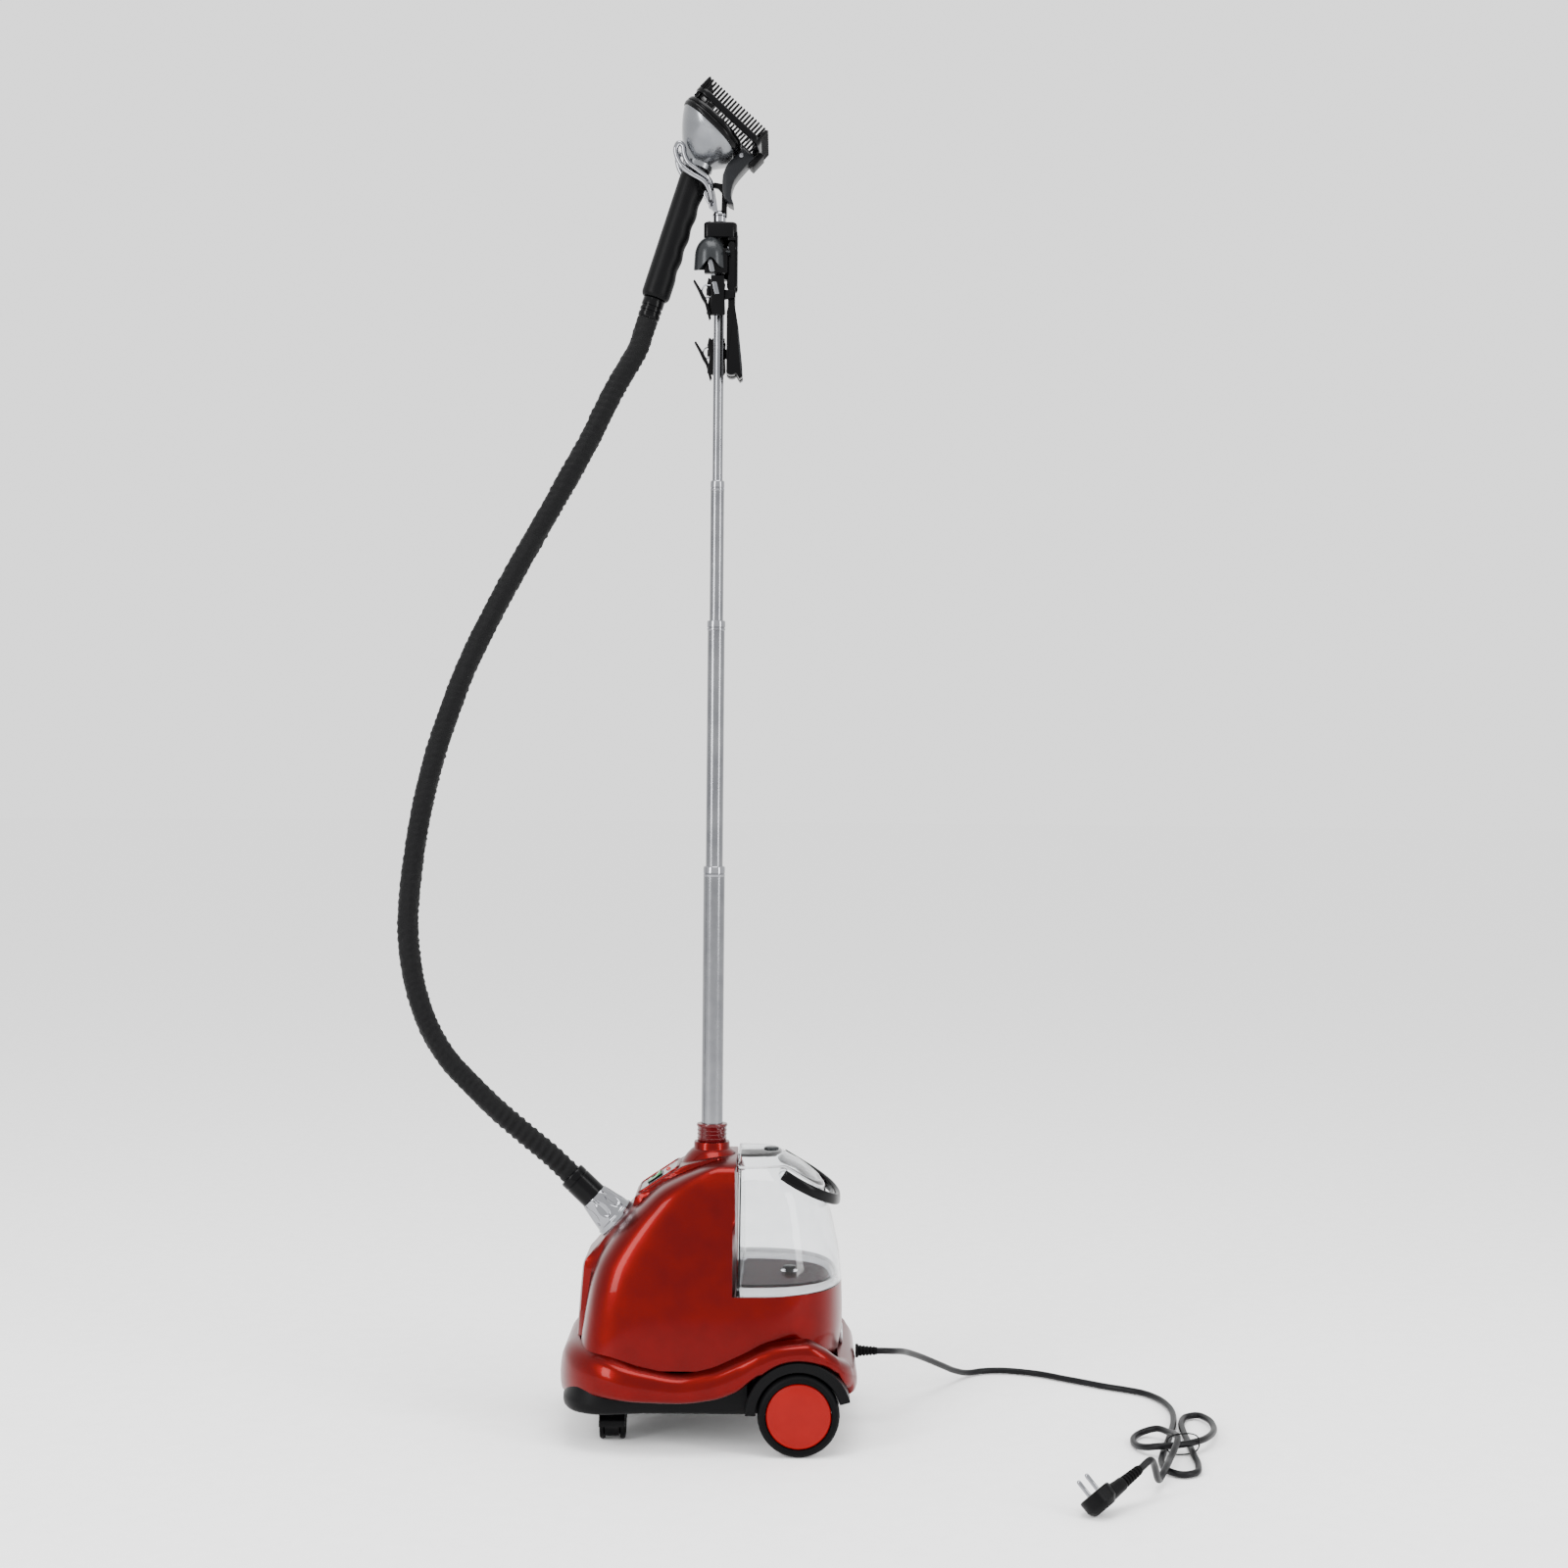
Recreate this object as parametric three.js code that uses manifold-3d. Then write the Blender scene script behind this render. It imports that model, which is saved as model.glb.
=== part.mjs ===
// Upright garment steamer: a wheeled base with boiler and lift-off water tank, a four-section telescopic
// mast with folding hanger arms, and a steam handset on a sheathed hose. Millimetres, +Z up, the floor is
// Z = 0, the mast stands on the Z axis, the hose leaves towards -X and the tank is at +X.
import * as THREE from "three";
import { mergeVertices } from "three/addons/utils/BufferGeometryUtils.js";
import Module from "manifold-3d";

const wasm = await Module();
wasm.setup();

// ---- driving dimensions ------------------------------------------------------------------------------
const GAP = 0.3; // between pieces that touch
const WALL = 3; // moulded shells

const BASE_HALF_LENGTH = 170;
const BASE_HALF_WIDTH = 142;
const PAN_INSET = 18; // from the skirt's outer outline to the pan
const PAN_FLOOR = 42;
const PAN_TOP = 88;
const SHELL_BOTTOM = 92;
const BODY_SETBACK = 21; // front of the body behind the skirt's front
const BODY_NARROWING = 19; // side of the body inside the skirt's side

const WHEEL_RADIUS = 46;
const WHEEL_WIDTH = 24;
const WHEEL_X = 103;
const HUB_RADIUS = 36.5;
const ARCH_RADIUS = 60; // edge of the skirt over the wheel
const ARCH_CLEARANCE = 4; // wheel to arch liner
const AXLE_RADIUS = 4;

const CASTER_X = -108;
const CASTER_Y = 75;
const CASTER_RADIUS = 17;
const CASTER_WIDTH = 30;
const CASTER_TRAIL = 6;

const SEAM_X = 30; // rear face of the body, where the tank stands against it
const DECK_Z = 172; // top of the rear body, which carries the tank
const TANK_REAR = 153;
const TANK_WALL = 2.6;
const TANK_FOOT = 4; // hollow under the tank's floor
const TANK_FLOOR = 4;
const TANK_HEIGHT = 148;
const CAP_X = 70;
const CAP_RADIUS = 9;
const VALVE_X = 92;
const VALVE_RADIUS = 9;
const VALVE_BORE = 5.6;
const VALVE_SEAT_RISE = 2; // above the deck
const VALVE_SEAT_DROP = 22; // below it
const SPOUT_HEIGHT = 10; // from the tank's foot hollow
const BAIL_X = 84; // its pivots
const BAIL_Y = 69;
const BAIL_RISE = 130; // above the deck
const BAIL_HALF_HEIGHT = 6.5;

const NUT_SEAT = new THREE.Vector3(-109, 0, 235); // middle of the hose connection on the nose
const NUT_ELEVATION = 43.5; // degrees above the horizontal, towards -X
const NUT_LENGTH = 40;
const NUT_FLANGE_RADIUS = 25.5;
const CUFF_RADIUS = 16.5;
const CUFF_END = 77; // along the nut's axis
const HOSE_DIAMETER = 26;

const MAST_RADII = [12.5, 10, 8, 6];
const MAST_TOPS = [651, 939, 1103, 1400];
const MAST_OVERLAP = 70; // each section's engagement in the one below
const TUBE_WALL = 1;
const COLLAR_RADIUS = 17;
const SOCKET_TOP = 329;
const COLLAR_TOP = 350;
const FERRULE_LENGTH = 12;

const BOILER_X = -70;
const BOILER_RADIUS = 45;
const BOILER_BOTTOM = 62;
const BOILER_HEIGHT = 60;

const BRACKET_TOP = 1403;
const ARM_PIVOT_Z = 1373;
const ARM_LENGTH = 153; // pivot to tip
const ARM_FRONT = 9.5;
const ARM_OFFSET = 10; // middle of each arm from the mast's plane
const ARM_THICKNESS = 13;
const CLIP_DROP = { near: 56, far: 118 }; // middle of the clip below the arm's pivot
const CLIP_WIDTH = 22;
const PRONG_Y = 22; // cradle wires from the middle

const HANDSET_TILT = 17.7; // degrees from upright
const HANDSET_FOOT = new THREE.Vector3(-75.5, 0, 1316);
const GRIP_LENGTH = 152;
const GRIP_RADIUS = 17;
const FACE_TILT = 25; // degrees between the grip's axis and the steam face's normal
const NECK_TOP = GRIP_LENGTH + 7;
const FACE_CENTRE = [1, GRIP_LENGTH + 52]; // middle of the bezel's back in the handset's own x and z
const FACE_LENGTH = 81;
const FACE_WIDTH = 106;
const BEZEL_DEPTH = 13;
const BRUSH_LOW = -38; // ends of the brush attachment along the face
const BRUSH_HIGH = 60;
const BRUSH_PLATE = 12.5; // depth of the brush frame
const TOOTH_LENGTH = 13.5;
const CLAMP_HALF_WIDTH = 15;

const LEAD_DIAMETER = 7.5;
const LEAD_EXIT_Z = 84;
const PLUG_RADIUS = 18.5;
const PIN_SPACING = 19;
const PIN_LENGTH = 19;
const PLUG_ARM = 36; // pins' axis to the strain relief
const RELIEF_LENGTH = 28;
const HANK_TILT = -17; // degrees, the hank's long axis from Y
const HANK_CENTRE = [531, -92];
const HANK_HALF_LENGTH = 118;
const HANK_HALF_WIDTH = 42;

// ---- shape helpers -----------------------------------------------------------------------------------
const rad = THREE.MathUtils.degToRad;
const at = (x, y, z) => new THREE.Vector3(x, y, z);

// A closed geometry as a solid for joining and cutting.
function solid(geometry) {
  const bare = geometry.clone();
  for (const name of Object.keys(bare.attributes)) if (name !== "position") bare.deleteAttribute(name);
  const merged = mergeVertices(bare, 1e-4);
  return new wasm.Manifold(
    new wasm.Mesh({
      numProp: 3,
      vertProperties: merged.attributes.position.array,
      triVerts: new Uint32Array(merged.index.array),
    }),
  );
}

function geometryOf(body) {
  const mesh = body.getMesh();
  return new THREE.BufferGeometry()
    .setAttribute("position", new THREE.BufferAttribute(mesh.vertProperties, 3))
    .setIndex(new THREE.BufferAttribute(mesh.triVerts, 1));
}

const join = (...pieces) => geometryOf(pieces.map(solid).reduce((all, one) => all.add(one)));

const cut = (body, ...tools) =>
  geometryOf(tools.map(solid).reduce((left, tool) => left.subtract(tool), solid(body)));

const overlap = (a, b) => geometryOf(solid(a).intersect(solid(b)));

// A cylinder between two heights on Z.
function rod(radius, low, high, sides = 32, x = 0, y = 0) {
  return new THREE.CylinderGeometry(radius, radius, high - low, sides)
    .rotateX(Math.PI / 2)
    .translate(x, y, (low + high) / 2);
}

// A cylinder between two stations on Y, or on X.
const rodY = (radius, low, high, x, z, sides = 32) =>
  rod(radius, low, high, sides).rotateX(-Math.PI / 2).translate(x, 0, z);
const rodX = (radius, low, high, y, z, sides = 20) =>
  rod(radius, low, high, sides).rotateY(Math.PI / 2).translate(0, y, z);

// A box between two corners.
const block = (low, high) =>
  new THREE.BoxGeometry(high[0] - low[0], high[1] - low[1], high[2] - low[2]).translate(
    (low[0] + high[0]) / 2,
    (low[1] + high[1]) / 2,
    (low[2] + high[2]) / 2,
  );

// [radius, height] pairs turned about Z; the profile runs upwards on the outside.
function turned(profile, sides = 24) {
  const closed = profile[0][0] > 0 ? [...profile, profile[0]] : profile;
  return new THREE.LatheGeometry(closed.map(([r, z]) => new THREE.Vector2(r, z)), sides).rotateX(Math.PI / 2);
}

const outlineOf = (points) => new THREE.Shape(points.map(([a, b]) => new THREE.Vector2(a, b)));

// A plan outline raised between two heights.
const planSlab = (points, low, high) =>
  new THREE.ExtrudeGeometry(outlineOf(points), { depth: high - low, bevelEnabled: false }).translate(0, 0, low);

// A side outline in X and Z, given its thickness along Y.
const sideSlab = (points, low, high) =>
  new THREE.ExtrudeGeometry(outlineOf(points), { depth: high - low, bevelEnabled: false })
    .rotateX(Math.PI / 2)
    .translate(0, high, 0);

// A closed skin over rings of equal count, stacked upwards and each counterclockwise from above.
function loft(rings) {
  const count = rings[0].length;
  const positions = rings.flat().flatMap(([x, y, z]) => [x, y, z]);
  const faces = [];
  for (let level = 0; level + 1 < rings.length; level++)
    for (let i = 0; i < count; i++) {
      const a = level * count + i;
      const b = level * count + ((i + 1) % count);
      faces.push(a, b, b + count, a, b + count, a + count);
    }
  const top = (rings.length - 1) * count;
  for (let i = 1; i + 1 < count; i++) faces.push(0, i + 1, i, top, top + i, top + i + 1);
  return new THREE.BufferGeometry()
    .setAttribute("position", new THREE.BufferAttribute(new Float32Array(positions), 3))
    .setIndex(faces);
}

// A tube with closed ends along a smooth route.
function hoseAlong(points, radius, sides, steps) {
  const ring = Array.from({ length: sides }, (_, i) => {
    const turn = (i / sides) * 2 * Math.PI;
    return [radius * Math.cos(turn), radius * Math.sin(turn)];
  });
  return new THREE.ExtrudeGeometry(outlineOf(ring), {
    extrudePath: new THREE.CatmullRomCurve3(points, false, "centripetal"),
    steps,
    bevelEnabled: false,
  });
}

// A rectangle with one radius at its low-X corners and another at its high-X corners.
function roundedPlan(low, high, halfWidth, lowRadius, highRadius, steps = 4) {
  const points = [];
  const corner = (x, y, radius, start) => {
    for (let i = 0; i <= steps; i++) {
      const turn = start + ((i / steps) * Math.PI) / 2;
      points.push([x + radius * Math.cos(turn), y + radius * Math.sin(turn)]);
    }
  };
  corner(high - highRadius, halfWidth - highRadius, highRadius, 0);
  corner(low + lowRadius, halfWidth - lowRadius, lowRadius, Math.PI / 2);
  corner(low + lowRadius, lowRadius - halfWidth, lowRadius, Math.PI);
  corner(high - highRadius, highRadius - halfWidth, highRadius, 1.5 * Math.PI);
  return points;
}

// A value read off a list of [key, value] pairs.
function readOff(table, key) {
  const next = table.findIndex(([k]) => k >= key);
  if (next <= 0) return next === 0 ? table[0][1] : table.at(-1)[1];
  const [k0, v0] = table[next - 1];
  const [k1, v1] = table[next];
  return v0 + ((v1 - v0) * (key - k0)) / (k1 - k0);
}

const finishes = {
  red: { color: "#9c0d0d", roughness: 0.25, metalness: 0.3 },
  darkRed: { color: "#5c1214", roughness: 0.4, metalness: 0.1 },
  black: { color: "#151515", roughness: 0.55, metalness: 0 },
  rubber: { color: "#1b1b1c", roughness: 0.85, metalness: 0 },
  sheath: { color: "#18181a", roughness: 0.95, metalness: 0 },
  clear: { color: "#e6e8ec", roughness: 0.08, metalness: 0, transparent: true, opacity: 0.35 },
  chrome: { color: "#d8d9dc", roughness: 0.08, metalness: 1 },
  silver: { color: "#b4b6ba", roughness: 0.3, metalness: 0.6 },
  aluminium: { color: "#aeb0b3", roughness: 0.35, metalness: 1 },
  grey: { color: "#6b6d70", roughness: 0.4, metalness: 0.2 },
  green: { color: "#1fa548", roughness: 0.3, metalness: 0 },
  lamp: { color: "#d23c32", roughness: 0.3, metalness: 0 },
};

const steamer = new THREE.Group();

function add(name, finish, geometry, parent = steamer) {
  const mesh = new THREE.Mesh(geometry, new THREE.MeshStandardMaterial(finishes[finish]));
  mesh.name = name;
  parent.add(mesh);
}

// ---- base: pan, skirt, shell -------------------------------------------------------------------------
const basePlan = (inset, z) =>
  roundedPlan(inset - BASE_HALF_LENGTH, BASE_HALF_LENGTH - inset, BASE_HALF_WIDTH - inset, 52 - inset / 2,
    56 - inset / 2).map(([x, y]) => [x, y, z]);
const panPlan = (clearance) => basePlan(PAN_INSET + clearance, 0).map(([x, y]) => [x, y]);

const wheelSides = [["near", -1], ["far", 1]];
const wheelInner = BASE_HALF_WIDTH - WHEEL_WIDTH; // inner face of each wheel
const archInner = WHEEL_RADIUS + ARCH_CLEARANCE;

// A Y-axis cylinder about the rear axle that reaches outwards from a distance to the middle.
const aboutAxle = (radius, side, from, to) =>
  side < 0 ? rodY(radius, -to, -from, WHEEL_X, WHEEL_RADIUS) : rodY(radius, from, to, WHEEL_X, WHEEL_RADIUS);

function addPan() {
  let pan = planSlab(panPlan(GAP), PAN_FLOOR, PAN_TOP);
  const inside = planSlab(panPlan(GAP + WALL), PAN_FLOOR + 4, PAN_TOP + 1);
  pan = cut(pan, inside);
  const reach = BASE_HALF_WIDTH - 4;
  for (const [, side] of wheelSides) {
    const liner = cut(
      aboutAxle(ARCH_RADIUS - GAP, side, wheelInner - 8, reach),
      block([-BASE_HALF_LENGTH, -200, -50], [BASE_HALF_LENGTH, 200, PAN_FLOOR]),
    );
    pan = cut(join(pan, liner), aboutAxle(archInner, side, wheelInner - 4, BASE_HALF_WIDTH + 5));
    pan = join(pan, rod(8, PAN_FLOOR, 62, 24, CASTER_X, side * CASTER_Y));
    pan = cut(pan, rod(3.8, PAN_FLOOR - 1, 60, 20, CASTER_X, side * CASTER_Y));
  }
  const mastBoss = rod(MAST_RADII[0] + 5, PAN_FLOOR + 1, 84, 32);
  const mastBore = rod(MAST_RADII[0] + GAP, PAN_FLOOR + 4, 85, 32);
  const boilerPost = rod(20, PAN_FLOOR + 1, BOILER_BOTTOM - GAP, 24, BOILER_X);
  pan = cut(join(pan, mastBoss, boilerPost), mastBore);
  add("chassis_pan", "black", cut(pan, rodY(AXLE_RADIUS + GAP, -BASE_HALF_WIDTH, BASE_HALF_WIDTH, WHEEL_X,
    WHEEL_RADIUS, 24)));
}

// The skirt's wavy edges, as heights along X.
const skirtEnd = BASE_HALF_LENGTH + 5;
const skirtTop = [[-skirtEnd, 112], [-131, 108], [-70, 95], [-32, 89], [0, 94], [35, 108], [71, 123],
  [113, 128], [135, 121], [154, 108], [skirtEnd, 94]];
const skirtFoot = [[-skirtEnd, 50], [-155, 56], [-119, 61], [-76, 59], [-32, 58], [6, 63], [35, 72], [52, 84],
  [60, 92], [146, 92], [152, 80], [166, 66], [skirtEnd, 60]];

function addSkirt() {
  const insets = [[44, 6], [56, 1], [66, 0], [80, 2], [95, 8], [112, 13], [134, 15]];
  const outer = loft(insets.map(([z, inset]) => basePlan(inset, z)));
  const band = sideSlab([...skirtFoot, ...skirtTop.toReversed()], -200, 200);
  const inside = planSlab(panPlan(0), 20, 160);
  let skirt = cut(overlap(outer, band), inside);
  for (const [, side] of wheelSides) skirt = cut(skirt, aboutAxle(ARCH_RADIUS, side, wheelInner - 10, 200));
  add("skirt", "red", skirt);
}

// Front of the body and its half width, by height.
const bodyStart = BODY_SETBACK - BASE_HALF_LENGTH;
const bodyFront = [[SHELL_BOTTOM, bodyStart], [102, bodyStart + 2], [189, -134], [214, -120], [245, -97], [263, -80],
  [284, -61], [301, -27], [312, 4]];
const bodyHalfWidth = [[SHELL_BOTTOM, BASE_HALF_WIDTH - BODY_NARROWING], [DECK_Z, 115], [214, 107],
  [245, 98], [263, 92], [284, 83], [301, 70], [312, 58]];
const REAR_STEP = 0.6; // the rear body stands this far inside the front one
const rearX = [[SHELL_BOTTOM, BASE_HALF_LENGTH - 20], [130, BASE_HALF_LENGTH - 16], [DECK_Z, TANK_REAR]];

const frontRing = (z, inset) =>
  roundedPlan(readOff(bodyFront, z) + inset, SEAM_X - inset, readOff(bodyHalfWidth, z) - inset, 16, 3)
    .map(([x, y]) => [x, y, z]);

// The D-shaped plan of the rear body and the tank.
function rearRing(z, rear, halfWidth, front) {
  const points = [[front, -halfWidth, z]];
  const steps = 12;
  for (let i = 0; i <= steps; i++) {
    const turn = -Math.PI / 2 + (i / steps) * Math.PI;
    const bulge = (value) => Math.sign(value) * Math.abs(value) ** 0.8;
    points.push([front + 8 + (rear - front - 8) * bulge(Math.cos(turn)), halfWidth * bulge(Math.sin(turn)), z]);
  }
  points.push([front, halfWidth, z]);
  return points;
}

const nutAxis = at(-Math.cos(rad(NUT_ELEVATION)), 0, Math.sin(rad(NUT_ELEVATION)));
const nutFrame = new THREE.Matrix4()
  .makeRotationY(rad(NUT_ELEVATION - 90))
  .setPosition(NUT_SEAT);
const alongNut = (distance) => NUT_SEAT.clone().addScaledVector(nutAxis, distance);

function addShell() {
  const levels = bodyFront.map(([z]) => z);
  const inner = (z) => frontRing(z, WALL);
  let shell = loft(levels.map((z) => frontRing(z, 0)));
  const nose = sideSlab([[bodyStart - 3, SHELL_BOTTOM], [-60, SHELL_BOTTOM], [-60, 262], [-87.5, 256.5], [-92, 252.9],
    [-145, 197]], -46, 46);
  const hump = sideSlab([[-92, 240], [-40, 240], [0, 300], [0, 314], [-32, 306], [-86, 270]], -40, 40);
  const cone = turned([[0, 290], [37, 290], [34, 305], [25, 320], [21, 323], [21, SOCKET_TOP],
    [0, SOCKET_TOP]], 32);
  const rear = loft([SHELL_BOTTOM, 130, DECK_Z - GAP].map((z) =>
    rearRing(z, readOff(rearX, z), readOff(bodyHalfWidth, z) - REAR_STEP, SEAM_X - 10)));
  const keptCone = overlap(cone, block([-60, -60, 280], [SEAM_X, 60, 340]));
  shell = join(shell, nose, hump, keptCone, rear);
  const hollowFront = loft([[SHELL_BOTTOM - 1, SHELL_BOTTOM], ...levels.slice(1, -2).map((z) => [z, z])]
    .map(([z, from]) => inner(from).map(([x, y]) => [x, y, z])));
  const hollowNose = sideSlab([[bodyStart + 2, SHELL_BOTTOM - 1], [-58, SHELL_BOTTOM - 1], [-58, 256],
    [-88, 250], [-141, 194]], -42, 42);
  const hollowRear = loft([[SHELL_BOTTOM - 1, SHELL_BOTTOM], [130, 130], [DECK_Z - 4, DECK_Z]].map(([z, from]) =>
    rearRing(z, readOff(rearX, from) - WALL, readOff(bodyHalfWidth, from) - WALL - 2 * REAR_STEP, SEAM_X - 16)));
  const mastBore = rod(MAST_RADII[0] + GAP, 200, 400, 32);
  const outletBore = rod(14 + GAP, -20, 20, 28).applyMatrix4(nutFrame);
  const valveBore = rod(VALVE_RADIUS + 3 + GAP, 100, DECK_Z + 20, 28, VALVE_X);
  const panelRecess = sideSlab(panelOutline(0), -34 - GAP, 34 + GAP);
  const skirtTrim = cut(block([-200, -200, 60], [200, 200, 136]), planSlab(panPlan(2 * GAP), 50, 150));
  const archTrims = wheelSides.map(([, side]) => aboutAxle(ARCH_RADIUS, side, wheelInner - 12, 200));
  add("body_shell", "red", cut(shell, skirtTrim, ...archTrims, hollowFront, hollowNose, hollowRear, mastBore,
    outletBore, valveBore, panelRecess));
}

// The panel lies on the hump's slope, between its front step and the mast socket.
const PANEL_LOW = [-83, 272];
const PANEL_HIGH = [-38, 302];
const PANEL_SINK = 2.5;
const panelSlope = Math.atan2(PANEL_HIGH[1] - PANEL_LOW[1], PANEL_HIGH[0] - PANEL_LOW[0]);

function panelOutline(shrink) {
  const [c, s] = [Math.cos(panelSlope), Math.sin(panelSlope)];
  const down = PANEL_SINK - shrink;
  const up = shrink ? -0.5 : 6;
  const [x0, z0] = [PANEL_LOW[0] + shrink * c, PANEL_LOW[1] + shrink * s];
  const [x1, z1] = [PANEL_HIGH[0] - shrink * c, PANEL_HIGH[1] - shrink * s];
  return [[x0 + down * s, z0 - down * c], [x1 + down * s, z1 - down * c], [x1 - up * s, z1 + up * c],
    [x0 - up * s, z0 + up * c]];
}

// A frame whose Z is the panel's normal and whose origin is a point along the panel.
const onPanel = (along) =>
  new THREE.Matrix4().makeRotationY(-panelSlope).setPosition(
    PANEL_LOW[0] + along * Math.cos(panelSlope),
    0,
    PANEL_LOW[1] + along * Math.sin(panelSlope),
  );

const SWITCH_ALONG = 22;
const SWITCH_LEAN = 7; // degrees
const LAMP_ALONG = 40;

function addPanel() {
  const switchHole = block([-8.5 - GAP, -11 - GAP, -30], [8.5 + GAP, 11 + GAP, 30])
    .applyMatrix4(onPanel(SWITCH_ALONG));
  const lampHole = rod(3 + GAP, -30, 30, 16).applyMatrix4(onPanel(LAMP_ALONG));
  add("control_panel", "silver", cut(sideSlab(panelOutline(GAP), -34, 34), switchHole, lampHole));
  const rocker = sideSlab([[-8, 0], [0, -1.8], [8, 0], [8, 3.4], [0, 2.4], [-8, 3.4]], -11, 11);
  add("power_switch", "green", rocker.rotateY(rad(-SWITCH_LEAN)).applyMatrix4(onPanel(SWITCH_ALONG)));
  add("indicator_lamp", "lamp", turned([[0, -1.8], [3, -1.8], [3, 1.5], [1.8, 2.8], [0, 3.2]], 16)
    .applyMatrix4(onPanel(LAMP_ALONG)));
}

// ---- steam circuit -----------------------------------------------------------------------------------
function addSteamCircuit() {
  const boilerTop = BOILER_BOTTOM + BOILER_HEIGHT;
  add("boiler", "aluminium", turned([[0, BOILER_BOTTOM], [BOILER_RADIUS - 4, BOILER_BOTTOM],
    [BOILER_RADIUS, BOILER_BOTTOM + 5], [BOILER_RADIUS, boilerTop - 8], [BOILER_RADIUS - 10, boilerTop],
    [0, boilerTop]], 32).translate(BOILER_X, 0, 0));
  add("thermostat", "silver", turned([[0, boilerTop + GAP], [9, boilerTop + GAP], [9, boilerTop + 6],
    [5, boilerTop + 9], [0, boilerTop + 9]], 20).translate(BOILER_X + 24, 0, 0));
  add("steam_pipe", "grey", hoseAlong([at(BOILER_X, 0, boilerTop + GAP), at(BOILER_X, 0, 150),
    at(BOILER_X - 3, 0, 182), at(BOILER_X - 12, 0, 208), alongNut(-15.5)], 5, 12, 12));
  add("steam_outlet", "silver", turned([[5, -15], [14, -15], [14, 12], [11, 14], [11, 30], [5, 30]], 28)
    .applyMatrix4(nutFrame));
  const valveFoot = at(VALVE_X, 0, DECK_Z - VALVE_SEAT_DROP - 0.5);
  add("feed_pipe", "grey", hoseAlong([valveFoot, at(VALVE_X, 0, 125), at(VALVE_X - 16, 16, 92),
    at(50, 28, 78), at(10, 31, 76), at(-14, 25, 78), at(BOILER_X + 42.2, 20, 80)], 5, 12, 18));
  add("valve_seat", "black", turned([[VALVE_BORE, -VALVE_SEAT_DROP], [VALVE_RADIUS + 3, -VALVE_SEAT_DROP],
    [VALVE_RADIUS + 3, VALVE_SEAT_RISE], [VALVE_BORE, VALVE_SEAT_RISE]], 28).translate(VALVE_X, 0, DECK_Z));
}

function addHoseConnection() {
  const flute = (turn) => new THREE.SphereGeometry(5, 8, 6).scale(0.8, 1, 2.2)
    .translate(NUT_FLANGE_RADIUS - 2, 0, 22).rotateZ(turn);
  const body = turned([[14 + GAP, 1], [NUT_FLANGE_RADIUS, 1], [NUT_FLANGE_RADIUS, 7],
    [NUT_FLANGE_RADIUS - 2, 10], [17.5, NUT_LENGTH], [CUFF_RADIUS + GAP, NUT_LENGTH],
    [CUFF_RADIUS + GAP, 24], [14 + GAP, 24]], 28);
  const flutes = Array.from({ length: 8 }, (_, i) => flute((i / 8) * 2 * Math.PI));
  add("hose_nut", "chrome", cut(body, ...flutes).applyMatrix4(nutFrame));
  add("hose_cuff", "black", turned([[0, 32], [11 + GAP, 32], [11 + GAP, 24.5], [CUFF_RADIUS, 24.5],
    [CUFF_RADIUS, CUFF_END - 2], [CUFF_RADIUS - 2, CUFF_END], [0, CUFF_END]]).applyMatrix4(nutFrame));
}

// ---- water tank --------------------------------------------------------------------------------------
// Rear end and half width by height above the deck.
const tankRear = [[0, TANK_REAR], [10, 152], [34, 149.4], [55, 145], [73, 141], [86, 137.4], [100, 134],
  [114, 128.5], [123, 118.4], [133, 105.3], [139, 93.3], [144, 86], [TANK_HEIGHT, 80.5]];
const tankHalfWidth = [[0, 115], [42, 107], [73, 98], [91, 92], [112, 82], [129, 70], [139, 58], [144, 50],
  [TANK_HEIGHT, 40]];
const tankFront = SEAM_X + 2;
const roofLevels = [[123, 121.4], [133, 131], [139, 136.6], [144, 141.4], [TANK_HEIGHT, TANK_HEIGHT - TANK_WALL]];

const tankRing = (height, inset, level = height) =>
  rearRing(DECK_Z + level, readOff(tankRear, height) - inset, readOff(tankHalfWidth, height) - inset,
    tankFront + inset);

// Everything above the lid's lower edge, which falls towards the rear.
const aboveRim = (gap) => {
  const edge = [[20, 136], [82, 136], [107, 123.5], [125, 111], [140, 100], [165, 84]];
  return sideSlab([...edge.map(([x, height]) => [x, DECK_Z + height + gap]), [165, DECK_Z + 180],
    [20, DECK_Z + 180]], -150, 150);
};

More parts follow.
